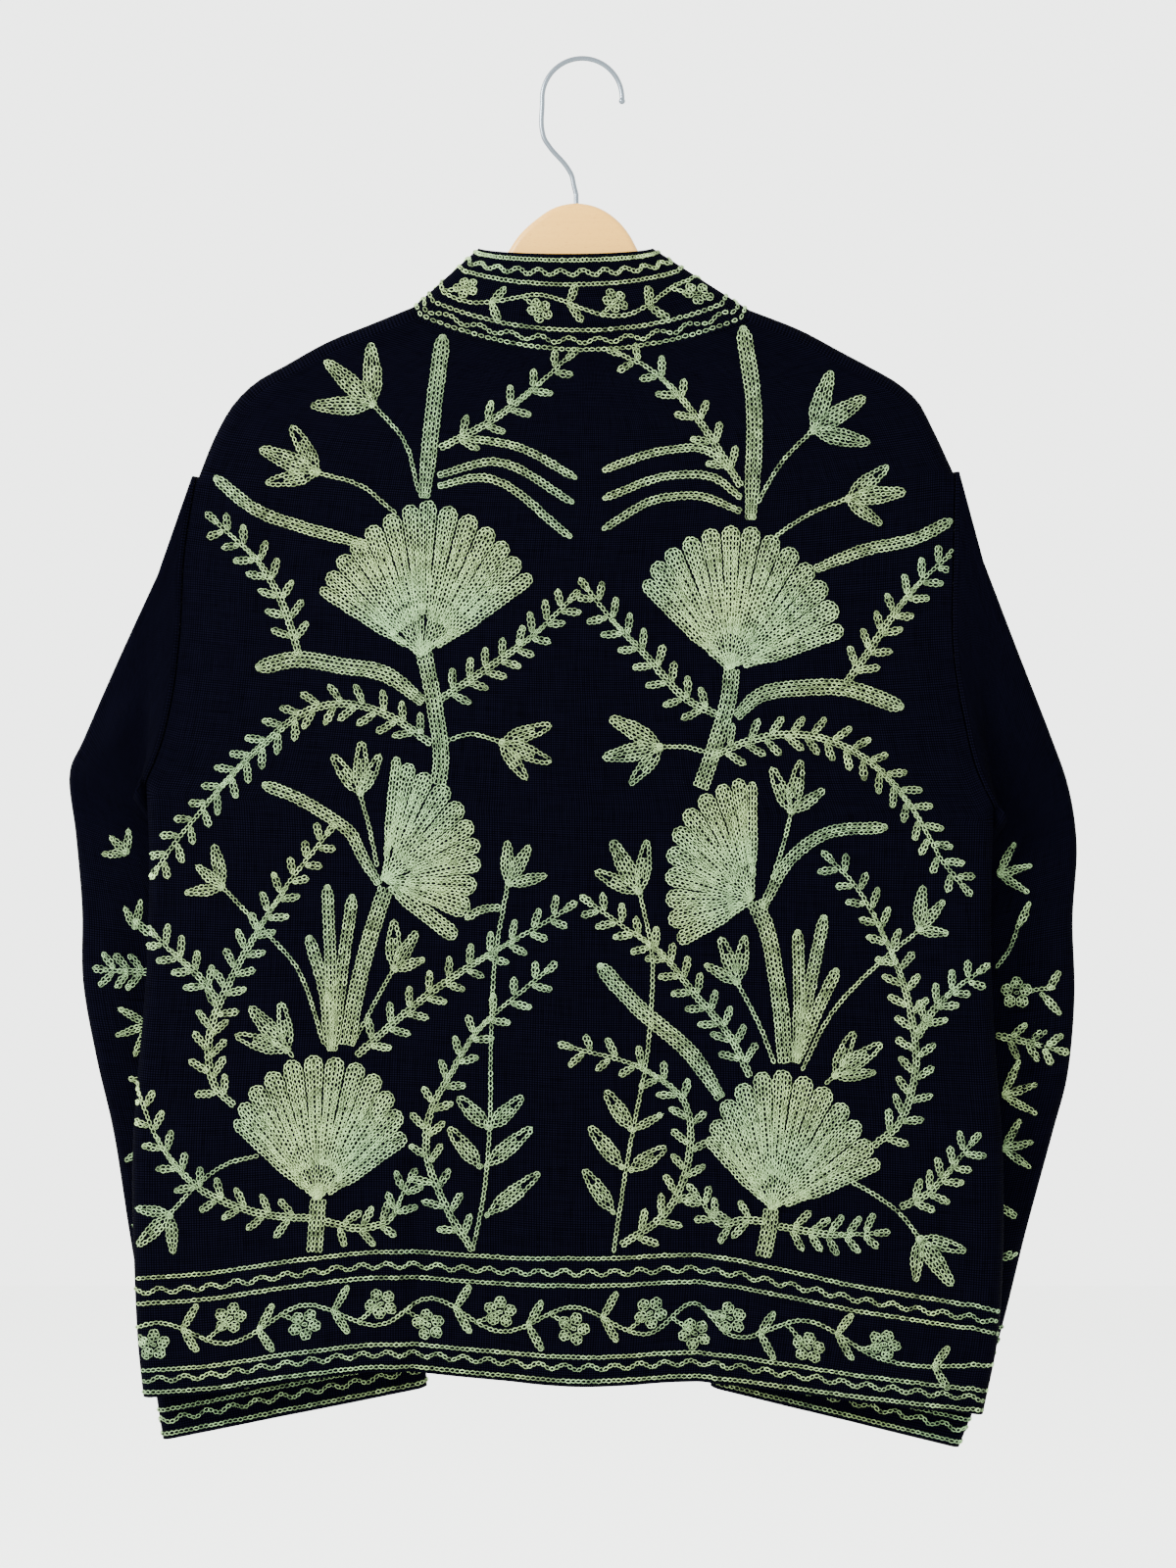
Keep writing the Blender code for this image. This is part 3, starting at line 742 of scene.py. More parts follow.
def sew(name, stitches, chart):
    """The mesh of all stitches in wool, each a loop laid in the cloth's plane at its place on the chart."""
    place, normal = chart(stitches[:, :2])
    held = (normal**2).sum(-1) > 0.5
    stitches, place, normal = stitches[held], place[held], normal[held]
    ahead, _ = chart(stitches[:, :2] + stitches[:, 2:4] * NUDGE)
    forward = unit(ahead - place)
    forward = unit(forward - normal * (forward * normal).sum(-1, keepdims=True))
    sideways = np.cross(normal, forward)
    a, b, outward, over = loop_template()
    length, width = stitches[:, 4, None], stitches[:, 5, None]
    rings = []
    for offset, height in ((-YARN_HALF, -YARN_SUNK), (0, YARN_HEIGHT), (YARN_HALF, -YARN_SUNK)):
        forwards = a * (length - 2 * YARN_HALF) + outward[:, 0] * offset
        across = b * (width - YARN_HALF) + outward[:, 1] * offset
        up = height * (over if height > 0 else np.ones(LOOP_POINTS))
        up = np.broadcast_to(up, forwards.shape)
        rings.append(
            place[:, None]
            + forward[:, None] * forwards[..., None]
            + sideways[:, None] * across[..., None]
            + normal[:, None] * up[..., None]
        )
    points = np.stack(rings, axis=2)
    here = np.arange(LOOP_POINTS) * 3
    there = np.roll(here, -1)
    template = np.concatenate([
        np.stack([here + k + 1, there + k + 1, there + k, here + k], axis=1) for k in (0, 1)
    ])
    starts = np.arange(len(stitches))[:, None, None] * (LOOP_POINTS * 3)
    quads = (template[None] + starts).reshape(-1, 4)
    made = new_mesh(name, points.reshape(-1, 3), quads, wool)
    # The tone attribute holds each stitch's random yarn tone plus the painted shade at its feet and the
    # painted light on its crown.
    tone = made.data.attributes.new("tone", "FLOAT", "POINT")
    painted_loop_light = np.tile(PAINTED_FOOT_SHADE_AND_CROWN_LIGHT, LOOP_POINTS)
    values = np.clip(stitches[:, 6, None] + painted_loop_light, 0, 1)
    tone.data.foreach_set("value", values.astype(np.float32).ravel())
    return made


def smooth_path(points):
    """Close points on the smooth curve through a few."""
    points = np.asarray(points, float)
    count = max(3, int(lengths(points)[-1] / PATH_STEP) + 1)
    return along(points, np.linspace(0, 1, count))


def beside(path, offset):
    """The path moved sideways by an offset for each of its points, to its left as it runs."""
    tangents = unit(np.gradient(path, axis=0))
    return path + np.stack([-tangents[:, 1], tangents[:, 0]], axis=1) * np.reshape(offset, (-1, 1))


def stem(points, rows):
    """Rows of chain side by side."""
    path = smooth_path(points)
    return [beside(path, (k - (rows - 1) / 2) * ROW) for k in range(rows)]


def blade(points, rows):
    """Rows side by side that draw together at a rounded tip and more slowly at the base."""
    path = smooth_path(points)
    s = np.linspace(0, 1, len(path))
    width = np.minimum(1, 0.55 + s / 0.5) * np.clip((1 - s) / 0.06, 0, 1) ** 0.5
    return [beside(path, (k - (rows - 1) / 2) * ROW * width) for k in range(rows)]


PETAL_HALF = mm(5.4)
PETAL_FULL_BY = 0.35  # the share of its length by which a petal has its full width
PETAL_TAPER = 0.35  # and how much of it is gone by the tip


def petal(base, tip, half=PETAL_HALF):
    """An outline row up one side, round the tip and down the other, filled with straight rows."""
    way = tip - base
    side = unit(np.array([-way[1], way[0]]))
    s = np.linspace(0, 1, 25)
    taper = 1 - PETAL_TAPER * smooth_step((s - 0.5) / 0.4)
    width = half * smooth_step(0.12 + 0.88 * s / PETAL_FULL_BY) * taper * np.clip((1 - s) / 0.1, 0, 1) ** 0.5
    edge = np.maximum(width - ROW / 2, mm(0.3))
    there, back_again = np.stack([s, edge], axis=1), np.stack([s, -edge], axis=1)[::-1]
    outline = np.concatenate([there, back_again])
    made = [base + outline[:, :1] * way + outline[:, 1:] * side]
    count = max(0, int(round(2 * edge.max() / ROW)) - 1)
    spacing = 2 * edge.max() / (count + 1)
    for k in range(count):
        offset = (k - (count - 1) / 2) * spacing
        room = s[edge > abs(offset) + 0.7 * ROW]
        if len(room) > 1:
            made.append(base + room[[0, -1], None] * way + offset * side)
    return made


LEAFLET_HALF = mm(1.3)


def leaflet(base, tip, half=LEAFLET_HALF):
    """One row that runs up one side of a small leaf, round its tip and down the other."""
    turn = np.linspace(0.12, 2 * np.pi - 0.12, 17)
    s = (1 - np.cos(turn)) / 2
    way = tip - base
    side = unit(np.array([-way[1], way[0]]))
    return [base + s[:, None] * way + (np.sin(turn) * half * (0.75 + 0.5 * s))[:, None] * side]


def turned(way, angle):
    return np.array([
        way[0] * math.cos(angle) - way[1] * math.sin(angle),
        way[0] * math.sin(angle) + way[1] * math.cos(angle),
    ])


FERN_LEAF = mm(16)
FERN_LEAN = 0.88  # a leaflet's turn from the spine, in radians


def fern(points, pairs):
    """A spine of two rows that end in one, with pairs of leaflets that lean towards its forked tip."""
    path = smooth_path(points)
    knots = lengths(path)
    tangents = unit(np.gradient(path, axis=0))
    s = knots / knots[-1]
    half = ROW * 0.42 * np.clip((0.9 - s) / 0.5, 0, 1)
    rows = [beside(path, half), beside(path, -half)[s < 0.8]]
    for k in range(pairs):
        share = (k + 0.75) / (pairs + 0.35)
        for side in (-1, 1):
            place = (share + side * 0.01) * knots[-1]
            foot = np.array([np.interp(place, knots, path[:, c]) for c in (0, 1)])
            way = unit(np.array([np.interp(place, knots, tangents[:, c]) for c in (0, 1)]))
            aim = turned(way, side * (FERN_LEAN + rng.normal(0, 0.08)))
            size = FERN_LEAF * (1 - 0.15 * share) * rng.uniform(0.92, 1.08)
            rows += leaflet(foot + aim * 0.002, foot + aim * size)
    rows += leaflet(path[-1], path[-1] + tangents[-1] * FERN_LEAF * 0.65)
    return rows


BROAD_PETAL = mm(36)  # a petal of this length has the full width


def bud(stalk, tips):
    """Three petals that spring from the end of a stalk. The stalk runs from its foot to the petals."""
    made = stem(stalk, 1)
    base = np.asarray(stalk[-1], float)
    for tip in tips:
        size = float(np.clip(np.hypot(*(tip - base)) / BROAD_PETAL, 0.7, 1.15))
        made += petal(base, tip, PETAL_HALF * size)
    return made


FAN_NARROW = 0.85  # a fan's petals are this much narrower than their share of its rim
FAN_END = 0.7  # and the first and the last are narrower again
FAN_FOOT = mm(0.5)  # how near to the fan's foot the middle row of each petal starts
FAN_CROWDING = 0.4  # near the foot a petal's edge row comes this near to its wedge's edge, in rows
FAN_LINE = 0.74  # and further out it keeps this far, so that a dark line parts the petals
FAN_LOOSE = 0.7  # a petal narrower than this share of its wedge has room on one side, as the first and last
FAN_LOOSE_SLOPE = 1.7  # and its rows start this much nearer to the foot


def fan(base, tips):
    """Long petals side by side from one foot. Each has an outline round its tip, filled with rows.

    A petal keeps to the wedge between its neighbours until it reaches its full width, and runs straight
    from there, parted from them by a dark line. A row inside it starts as soon as there is room for it.
    """
    base, tips = np.asarray(base, float), np.asarray(tips, float)
    gaps = np.linalg.norm(np.diff(tips, axis=0), axis=1)
    shares = np.concatenate([[gaps[0]], (gaps[:-1] + gaps[1:]) / 2, [gaps[-1]]]) / 2
    halves = np.clip(shares * FAN_NARROW, mm(4), mm(7.5))
    halves[[0, -1]] *= FAN_END
    tips[[0, -1]] += (tips[[1, -2]] - tips[[0, -1]]) * (1 - FAN_END) / 2
    made = []
    for tip, share, half in zip(tips, shares, halves):
        way = tip - base
        length = np.hypot(*way)
        way /= length
        side = np.array([-way[1], way[0]])
        edge = half - ROW / 2
        slope = share / length
        shoulder = length - half
        if half < share * FAN_LOOSE:
            slope *= FAN_LOOSE_SLOPE
        first = (FAN_CROWDING + 0.3) * ROW / slope
        full = min((edge + FAN_LINE * ROW) / slope, shoulder - mm(1))
        turn = np.linspace(np.pi / 2, -np.pi / 2, 9)
        inner, outer = full * 0.5, full * 0.65
        left = np.array([
            [first, 0.3 * ROW],
            [inner, slope * inner - FAN_CROWDING * ROW],
            [outer, slope * outer - FAN_LINE * ROW],
            [full, edge],
            [shoulder, edge],
        ])
        arch = np.stack([shoulder + edge * np.cos(turn), edge * np.sin(turn)], axis=1)[1:-1]
        outline = np.concatenate([left[left[:, 0] >= first], arch, left[::-1] * (1, -1)])
        made.append(base + outline[:, :1] * way + outline[:, 1:] * side)
        count = max(1, int(round(2 * edge / ROW)) - 1)
        spacing = 2 * edge / (count + 1)
        for k in range(count):
            offset = (k - (count - 1) / 2) * spacing
            start = FAN_FOOT if k == count // 2 else max(FAN_FOOT, (abs(offset) + 0.2 * ROW) / slope)
            end = shoulder + math.sqrt(edge**2 - offset**2) - ROW * 0.75
            if end - start > STITCH:
                made.append(base + np.array([[start], [end]]) * way + offset * side)
    return made


FLOWER_RADIUS = mm(10.8)
FLOWER_PETALS = 5
FLOWER_TURN = 0.3
COIL_PLACE, COIL_OUTER, COIL_INNER = 0.63, 0.3, 0.1  # of a petal's coil, in shares of the flower's radius


def heading(angle):
    return np.array([math.cos(angle), math.sin(angle)])


def flower(centre, radius=FLOWER_RADIUS, turn=FLOWER_TURN):
    """Round petals about a middle loop, each a small coil: a ring of chain with a smaller one in it."""
    ring = np.linspace(0, 2 * np.pi, 9)
    made = [centre + mm([[-1.5, 0], [1.5, 0]])]
    for k in range(FLOWER_PETALS):
        angle = turn + k * 2 * np.pi / FLOWER_PETALS
        middle = centre + heading(angle) * radius * COIL_PLACE
        around = np.stack([np.cos(ring + angle), np.sin(ring + angle)], axis=1)
        made += [middle + around * radius * COIL_OUTER, middle + around[::2] * radius * COIL_INNER]
    return made


# Borders, in millimetres up from the edge that they follow, read off the hem
BORDER_LINES = mm([3.8, 19.5, 66.5, 84.5])
BORDER_WAVES = mm([12.8, 75])
WAVE_LENGTH = mm(16.5)
WAVE_HEIGHT = mm(2)
VINE_MIDDLE = mm(43)
VINE_SWING = mm(9.5)
VINE_STALK = 1.4  # a flower's stalk leaves the vine this many radii before the flower
VINE_FORK = 0.38  # where between two flowers the pair of leaves stands
VINE_LEAF = 1.75  # a leaf's length, in radii of a flower
VINE_LEAF_TURN = 1.05  # its turn up or down, in radians
VINE_LEAF_HALF = LEAFLET_HALF * 1.15
LINE_STEP, WAVE_STEP = mm(4), mm(1.2)  # between the points of a straight and of a waving row
SIDE_REACH = mm(20)  # borders run on to the side edges, which bulge this far past the hem's corners at most
FLOWER_STEP = mm(50)  # between the flowers on the fronts and the cuffs


def line_row(start, end, height):
    """A straight row at one height over the edge."""
    s = np.linspace(start, end, max(3, int(abs(end - start) / LINE_STEP)))
    return np.stack([s, np.full(len(s), height)], axis=1)


def wave_row(start, end, height):
    """A row that swings up and down about one height."""
    s = np.linspace(start, end, max(8, int(abs(end - start) / WAVE_STEP)))
    return np.stack([s, height + WAVE_HEIGHT * np.sin(2 * np.pi * s / WAVE_LENGTH)], axis=1)


def vine(start, end, flowers, middle=VINE_MIDDLE, swing=VINE_SWING, radius=FLOWER_RADIUS):
    """A winding stem that passes each flower on its other side, with a pair of leaves between two flowers."""
    sides = np.sign(flowers[:, 1] - middle)
    knots = np.column_stack([flowers[:, 0], middle - sides * swing])
    path = smooth_path(np.concatenate([[[start, middle]], knots, [[end, middle]]]))

    def on_path(x):
        return np.array([np.interp(x, path[:, 0], path[:, k]) for k in (0, 1)])

    made = [path]
    for k, place in enumerate(flowers):
        made.append(np.array([on_path(place[0] - radius * VINE_STALK), place]))
        made += flower(place, radius, FLOWER_TURN + k)
    ends = np.concatenate([flowers[:, 0], [end]])
    for left, right in zip(ends[:-1], ends[1:]):
        if right - left > radius * 3:
            foot = on_path(left + (right - left) * VINE_FORK)
            for turn in (VINE_LEAF_TURN, -VINE_LEAF_TURN):
                made += leaflet(foot, foot + heading(turn) * radius * VINE_LEAF, VINE_LEAF_HALF)
    return made


def even_flowers(start, end, step, middle=VINE_MIDDLE, swing=VINE_SWING):
    """Places at even steps, by turns above and below the middle."""
    count = max(1, int((end - start) / step))
    s = start + (np.arange(count) + 0.5) * (end - start) / count
    return np.column_stack([s, middle + swing * 0.45 * (-1) ** np.arange(count)])


# Places on the cloth


def on_face(face, outwards, panels):
    """A chart for panels that hang in the XZ plane, with normals from the slopes of their face.

    Past the side edges the normal is nought: there is no cloth to sew on.
    """
    low, high = panels[0][:, 0, [2, 0]][::-1], panels[1][:, -1, [2, 0]][::-1]

    def chart(points):
        y = face(points)
        slope_x = (face(points + (NUDGE, 0)) - y) / NUDGE
        slope_z = (face(points + (0, NUDGE)) - y) / NUDGE
        normal = unit(np.stack([-slope_x, np.ones(len(y)), -slope_z], axis=1)) * outwards
        from_low = points[:, 0] - np.interp(points[:, 1], *low.T)
        to_high = np.interp(points[:, 1], *high.T) - points[:, 0]
        beyond = np.minimum(from_low, to_high) < EDGE_CLEAR
        return with_y(points, y), np.where(beyond[:, None], 0, normal)
    return chart


# The border isn't sewn at one height: (x in the photograph, its height there as a share of the full one)
BORDER_SHARES = [(140, 0.93), (400, 0.93), (520, 0.96), (580, 1.0), (740, 0.98), (861, 0.9), (1020, 0.83)]


def border_share(x):
    at, shares = np.transpose(BORDER_SHARES)
    return np.interp(x, (at - HOOK_PIXEL[0]) * PIXEL, shares)


def above_hem(chart, hem):
    """The same chart in (x, height over the hem)."""
    def raised(points):
        height = points[:, 1] * border_share(points[:, 0])
        return chart(np.stack([points[:, 0], hem(points[:, 0]) + height], axis=1))
    return raised


def outward_normals(grid):
    """Normals of a grid that bends round its own middle, pointing away from it."""
    normal = unit(np.cross(np.gradient(grid, axis=0), np.gradient(grid, axis=1)))
    away = grid - grid.mean(axis=1, keepdims=True)
    return normal * np.sign((normal * away).sum())


EDGE_CLEAR = mm(1.2)  # stitches keep this far from a panel's side edge
STEEPEST = 0.35  # the least share of -Y or +Y in the normal of cloth that still takes a stitch
FARTHEST = mm(5)  # a place farther from every sample than this is off the cloth


def on_side(grid, normals):
    """A chart in (x, z) for one side of a sleeve: the nearest sample, and its plane up to the point.

    The normal is nought where there is no cloth, or where it turns away round a fold.
    """
    samples, facing = grid.reshape(-1, 3), normals.reshape(-1, 3)

    def chart(points):
        nearest = np.concatenate([
            ((samples[None, :, ::2] - some[:, None]) ** 2).sum(-1).argmin(1)
            for some in np.array_split(points, max(1, len(points) // 200))
        ])
        place, normal = samples[nearest], facing[nearest]
        away = points - place[:, ::2]
        flat = np.copysign(np.maximum(abs(normal[:, 1]), STEEPEST), normal[:, 1])
        y = place[:, 1] - (normal[:, 0] * away[:, 0] + normal[:, 2] * away[:, 1]) / flat
        beyond = (np.hypot(*away.T) > FARTHEST) | (abs(normal[:, 1]) < STEEPEST)
        return with_y(points, y), np.where(beyond[:, None], 0, normal)
    return chart


def on_band(grid, normals, run, rise):
    """A chart in (distance along an edge, distance from it) read between the points of a grid."""
    def read(values, rows, columns):
        r, c = np.floor(rows).astype(int), np.floor(columns).astype(int)
        r, c = np.clip(r, 0, values.shape[0] - 2), np.clip(c, 0, values.shape[1] - 2)
        u, v = (rows - r)[:, None], (columns - c)[:, None]
        return (
            values[r, c] * (1 - u) * (1 - v) + values[r + 1, c] * u * (1 - v)
            + values[r, c + 1] * (1 - u) * v + values[r + 1, c + 1] * u * v
        )

    def chart(points):
        columns = np.interp(points[:, 0], run, np.arange(len(run)))
        rows = np.interp(points[:, 1], rise, np.arange(len(rise)))
        return read(grid, rows, columns), unit(read(normals, rows, columns))
    return chart


CUFF_BAND = mm(np.arange(0, 96, 2))


def cuff_chart(tube):
    """The lowest part of a sleeve as a band: round the cuff's edge, and up from it along each column."""
    closed = np.concatenate([tube, tube[:, :1]], axis=1)[::-1]
    normals = outward_normals(closed[:, :-1])
    normals = np.concatenate([normals, normals[:, :1]], axis=1)
    columns = range(closed.shape[1])
    heights = [lengths(closed[:, c]) for c in columns]
    band = [[np.interp(CUFF_BAND, heights[c], v[:, c, k]) for k in range(3)] for v in (closed, normals)
            for c in columns]
    band = np.array(band).reshape(2, closed.shape[1], 3, -1).transpose(0, 3, 1, 2)
    run = lengths(closed[0])
    return on_band(band[0], band[1], run, CUFF_BAND), run[-1]


# The two trees on the back, from top to bottom, in pixels of the photograph. A path runs from foot to tip.
# blade: rows, path; fern: pairs, path; bud: stalk, petal tips; fan: foot, petal tips; leaf: foot, tip; stem
LEFT_TREE = [
    ("blade", 4, [(433, 508), (441, 430), (452, 342)]),
    ("fern", 5, [(449, 457), (500, 430), (545, 396), (578, 366)]),
    ("blade", 2, [(469, 446), (528, 456), (588, 488)]),
    ("blade", 2, [(447, 485), (503, 471), (585, 513)]),
    ("blade", 2, [(447, 496), (489, 487), (583, 548)]),
    ("bud", [(427, 502), (413, 451), (382, 414)], [(378, 350), (332, 368), (318, 414)]),
    ("bud", [(404, 524), (365, 494), (326, 483)], [(297, 434), (265, 458), (272, 493)]),
    ("blade", 3, [(375, 556), (306, 537), (264, 522), (219, 487)]),
    ("fern", 7, [(305, 668), (290, 620), (265, 575), (222, 534)]),
    ("blade", 4, [(432, 716), (389, 686), (351, 680), (300, 673), (262, 682)]),
    ("fan", (432, 669), [(325, 603), (334, 585), (346, 567), (361, 551), (378, 536), (398, 524), (418, 515),
                         (437, 510), (459, 516), (481, 525), (501, 538), (517, 553), (530, 570), (545, 590)]),
    ("stem", 4, [(433, 667), (445, 730), (450, 780), (447, 800)]),
    ("fern", 8, [(448, 714), (500, 680), (548, 645), (580, 614)]),
    ("bud", [(450, 758), (481, 749), (510, 757)], [(563, 740), (563, 778), (538, 796)]),
    ("fern", 16, [(440, 759), (402, 733), (351, 718), (320, 723), (267, 761), (213, 818), (178, 861),
                  (162, 884)]),
    ("bud", [(385, 884), (377, 846), (368, 812)], [(339, 770), (369, 756), (388, 769)]),
    ("fan", (392, 899), [(403, 770), (418, 778), (436, 788), (456, 801), (472, 820), (483, 840), (490, 860),
                         (491, 880), (487, 904), (480, 928), (464, 962)]),
    ("blade", 3, [(387, 902), (371, 876), (356, 848), (338, 835), (305, 815), (268, 800)]),
    ("stem", 4, [(394, 906), (379, 952), (366, 1003), (354, 1066)]),
    ("blade", 3, [(338, 1072), (338, 1010), (334, 903)]),
    ("blade", 3, [(340, 1072), (348, 1000), (360, 913)]),
    ("blade", 3, [(336, 1068), (332, 1015), (315, 955)]),
    ("bud", [(331, 1065), (300, 983), (267, 947), (228, 906)], [(218, 861), (200, 883), (189, 911)]),
    ("fern", 14, [(333, 852), (295, 901), (262, 952), (234, 1003), (216, 1047), (213, 1080), (221, 1111),
                  (239, 1128)][::-1]),
    ("fern", 4, [(221, 1019), (203, 996), (183, 978), (160, 956)]),
    ("bud", [(299, 1078), (295, 1073)], [(287, 1022), (255, 1027), (240, 1056)]),
    ("bud", [(360, 1065), (382, 1024), (401, 990)], [(402, 938), (426, 950), (433, 979)]),
    ("fern", 10, [(364, 1077), (407, 1039), (449, 1006), (502, 972), (550, 945), (575, 929)]),
    ("bud", [(482, 1277), (493, 1223), (500, 1141), (501, 1060), (506, 973), (518, 903)],
     [(518, 857), (541, 862), (559, 893)]),
    ("leaf", (499, 1152), (533, 1119)),
    ("leaf", (499, 1152), (467, 1119)),
    ("leaf", (495, 1191), (543, 1150)),
    ("leaf", (491, 1192), (458, 1151)),
    ("leaf", (495, 1242), (550, 1197)),
    ("blade", 2, [(510, 926), (492, 928), (475, 937)]),
    ("fern", 12, [(482, 1277), (454, 1230), (435, 1171), (437, 1143), (462, 1092), (487, 1052), (521, 1021),
                  (556, 992)]),
    ("fan", (324, 1224), [(238, 1146), (246, 1126), (258, 1108), (276, 1093), (297, 1081), (320, 1076),
                          (343, 1078), (366, 1084), (385, 1096), (399, 1114), (409, 1134), (415, 1162)]),
    ("stem", 4, [(321, 1277), (323, 1250), (325, 1224)]),
    ("fern", 5, [(332, 1246), (367, 1253), (393, 1247), (417, 1206)]),
    ("fern", 9, [(318, 1243), (277, 1240), (239, 1230), (203, 1212), (162, 1164), (141, 1114)]),
    ("bud", [(264, 1179), (233, 1187), (203, 1207), (174, 1238)], [(138, 1233), (140, 1272), (177, 1280)]),
]
RIGHT_TREE = [
    ("blade", 4, [(766, 530), (769, 412), (758, 333)]),
    ("fern", 6, [(756, 496), (728, 451), (700, 412), (658, 373), (634, 362)]),
    ("blade", 2, [(748, 482), (723, 460), (672, 461), (615, 480)]),
    ("blade", 2, [(756, 508), (728, 487), (686, 485), (615, 509)]),
    ("blade", 2, [(756, 522), (714, 506), (672, 509), (615, 540)]),
    ("bud", [(773, 513), (796, 474), (828, 440)], [(848, 379), (883, 405), (888, 452)]),
    ("bud", [(791, 547), (827, 524), (863, 509)], [(906, 476), (924, 502), (899, 535)]),
    ("blade", 3, [(832, 581), (883, 561), (933, 550), (971, 531)]),
    ("fern", 7, [(863, 697), (887, 664), (904, 638), (940, 593), (966, 569)]),
    ("blade", 4, [(751, 731), (775, 710), (820, 702), (861, 702), (921, 722)]),
    ("fan", (745, 683), [(655, 596), (667, 574), (683, 559), (703, 547), (724, 539), (746, 536), (768, 537),
                         (790, 546), (810, 559), (828, 576), (843, 595), (855, 618), (862, 646)]),
    ("stem", 4, [(747, 683), (744, 710), (727, 769), (715, 804)]),
    ("fern", 8, [(735, 731), (700, 713), (662, 672), (619, 626), (601, 603)]),
    ("bud", [(722, 768), (698, 762), (676, 762)], [(622, 732), (615, 773), (643, 800)]),
    ("fern", 15, [(727, 772), (759, 758), (794, 750), (829, 751), (887, 777), (933, 828), (962, 879),
                  (981, 902)]),
    ("bud", [(788, 897), (799, 863), (807, 830)], [(787, 783), (817, 776), (842, 805)]),
    ("fan", (768, 918), [(770, 797), (753, 794), (736, 800), (717, 810), (700, 826), (688, 846), (681, 868),
                         (679, 892), (679, 917), (682, 940), (692, 964)]),
    ("blade", 3, [(778, 927), (807, 876), (839, 852), (905, 844)]),
    ("stem", 4, [(770, 921), (780, 942), (791, 991), (802, 1084)]),
    ("blade", 3, [(812, 1084), (815, 1044), (814, 949)]),
    ("blade", 3, [(812, 1084), (822, 1030), (841, 934)]),
    ("blade", 3, [(814, 1080), (832, 1036), (854, 989)]),
    ("bud", [(818, 1092), (845, 1039), (906, 975), (937, 950)], [(942, 903), (963, 919), (967, 952)]),
    ("fern", 14, [(891, 1169), (914, 1150), (933, 1098), (928, 1028), (904, 959), (871, 902), (850, 880)]),
    ("fern", 4, [(936, 1058), (954, 1028), (971, 1012), (997, 993)]),
    ("bud", [(842, 1106), (850, 1099)], [(871, 1052), (899, 1065), (893, 1094)]),
    ("bud", [(790, 1085), (774, 1044), (753, 1004)], [(735, 956), (760, 955), (719, 984)]),
    ("fern", 11, [(765, 1098), (747, 1061), (707, 1012), (675, 973), (636, 945), (605, 923)]),
    ("bud", [(626, 1278), (641, 1180), (662, 1060), (664, 964), (653, 912)],
     [(624, 857), (660, 858), (607, 889)]),
    ("leaf", (645, 1154), (618, 1113)),
    ("leaf", (645, 1154), (677, 1136)),
    ("leaf", (636, 1193), (602, 1150)),
    ("leaf", (642, 1195), (679, 1171)),
    ("leaf", (627, 1239), (596, 1194)),
    ("blade", 4, [(736, 1120), (703, 1073), (652, 1029), (611, 984)]),
    ("fern", 11, [(634, 1271), (681, 1236), (703, 1180), (698, 1124), (659, 1092), (585, 1069)]),
    ("fan", (788, 1234), [(720, 1163), (728, 1143), (740, 1122), (757, 1105), (777, 1093), (799, 1091),
                          (822, 1098), (844, 1109), (863, 1126), (877, 1145), (890, 1166), (900, 1189)]),
    ("stem", 4, [(779, 1282), (784, 1258), (787, 1234)]),
    ("fern", 4, [(779, 1246), (755, 1245), (738, 1249), (712, 1221)]),
    ("fern", 5, [(794, 1251), (816, 1255), (857, 1260), (892, 1258)]),
    ("bud", [(860, 1201), (884, 1214), (919, 1239), (937, 1262)], [(985, 1276), (972, 1312), (934, 1307)]),
    ("fern", 5, [(919, 1232), (950, 1215), (964, 1200), (990, 1168)]),
]
HEM_FLOWERS = [(157, 1372), (235, 1345), (311, 1351), (389, 1330), (437, 1353), (510, 1340), (585, 1357),
               (664, 1340), (709, 1362), (745, 1345), (825, 1375), (902, 1371)]
LEFT_SLEEVE_SPRIGS = [
    ("three", (124, 872), (106, 853)),
    ("leaf", (132, 950), (121, 926)),
    ("leaf", (132, 950), (138, 920)),
    ("leaf", (132, 940), (147, 957)),
    ("fern", 3, [(150, 995), (128, 994), (104, 992)]),
    ("three", (146, 1049), (112, 1060)),
    ("leaf", (150, 1112), (126, 1104)),
    ("leaf", (150, 1170), (122, 1190)),
    ("leaf", (150, 1180), (134, 1206)),
    ("leaf", (148, 1262), (128, 1256)),
]
RIGHT_SLEEVE_SPRIGS = [
    ("three", (1024, 893), (1058, 884)),
    ("flower", (1043, 1016)),
    ("stem", 1, [(1056, 1014), (1070, 1012), (1082, 1010)]),
    ("leaf", (1076, 1012), (1088, 992)),
    ("leaf", (1068, 1016), (1088, 1038)),
    ("fern", 3, [(1022, 1060), (1050, 1066), (1082, 1074)]),
    ("three", (1029, 1122), (1066, 1110)),
    ("three", (1029, 1177), (1062, 1170)),
    ("leaf", (1026, 1236), (1046, 1250)),
    ("leaf", (1024, 1292), (1048, 1282)),
    ("leaf", (1046, 946), (1056, 922)),
    ("stem", 1, [(1022, 990), (1036, 970), (1046, 940)]),
]
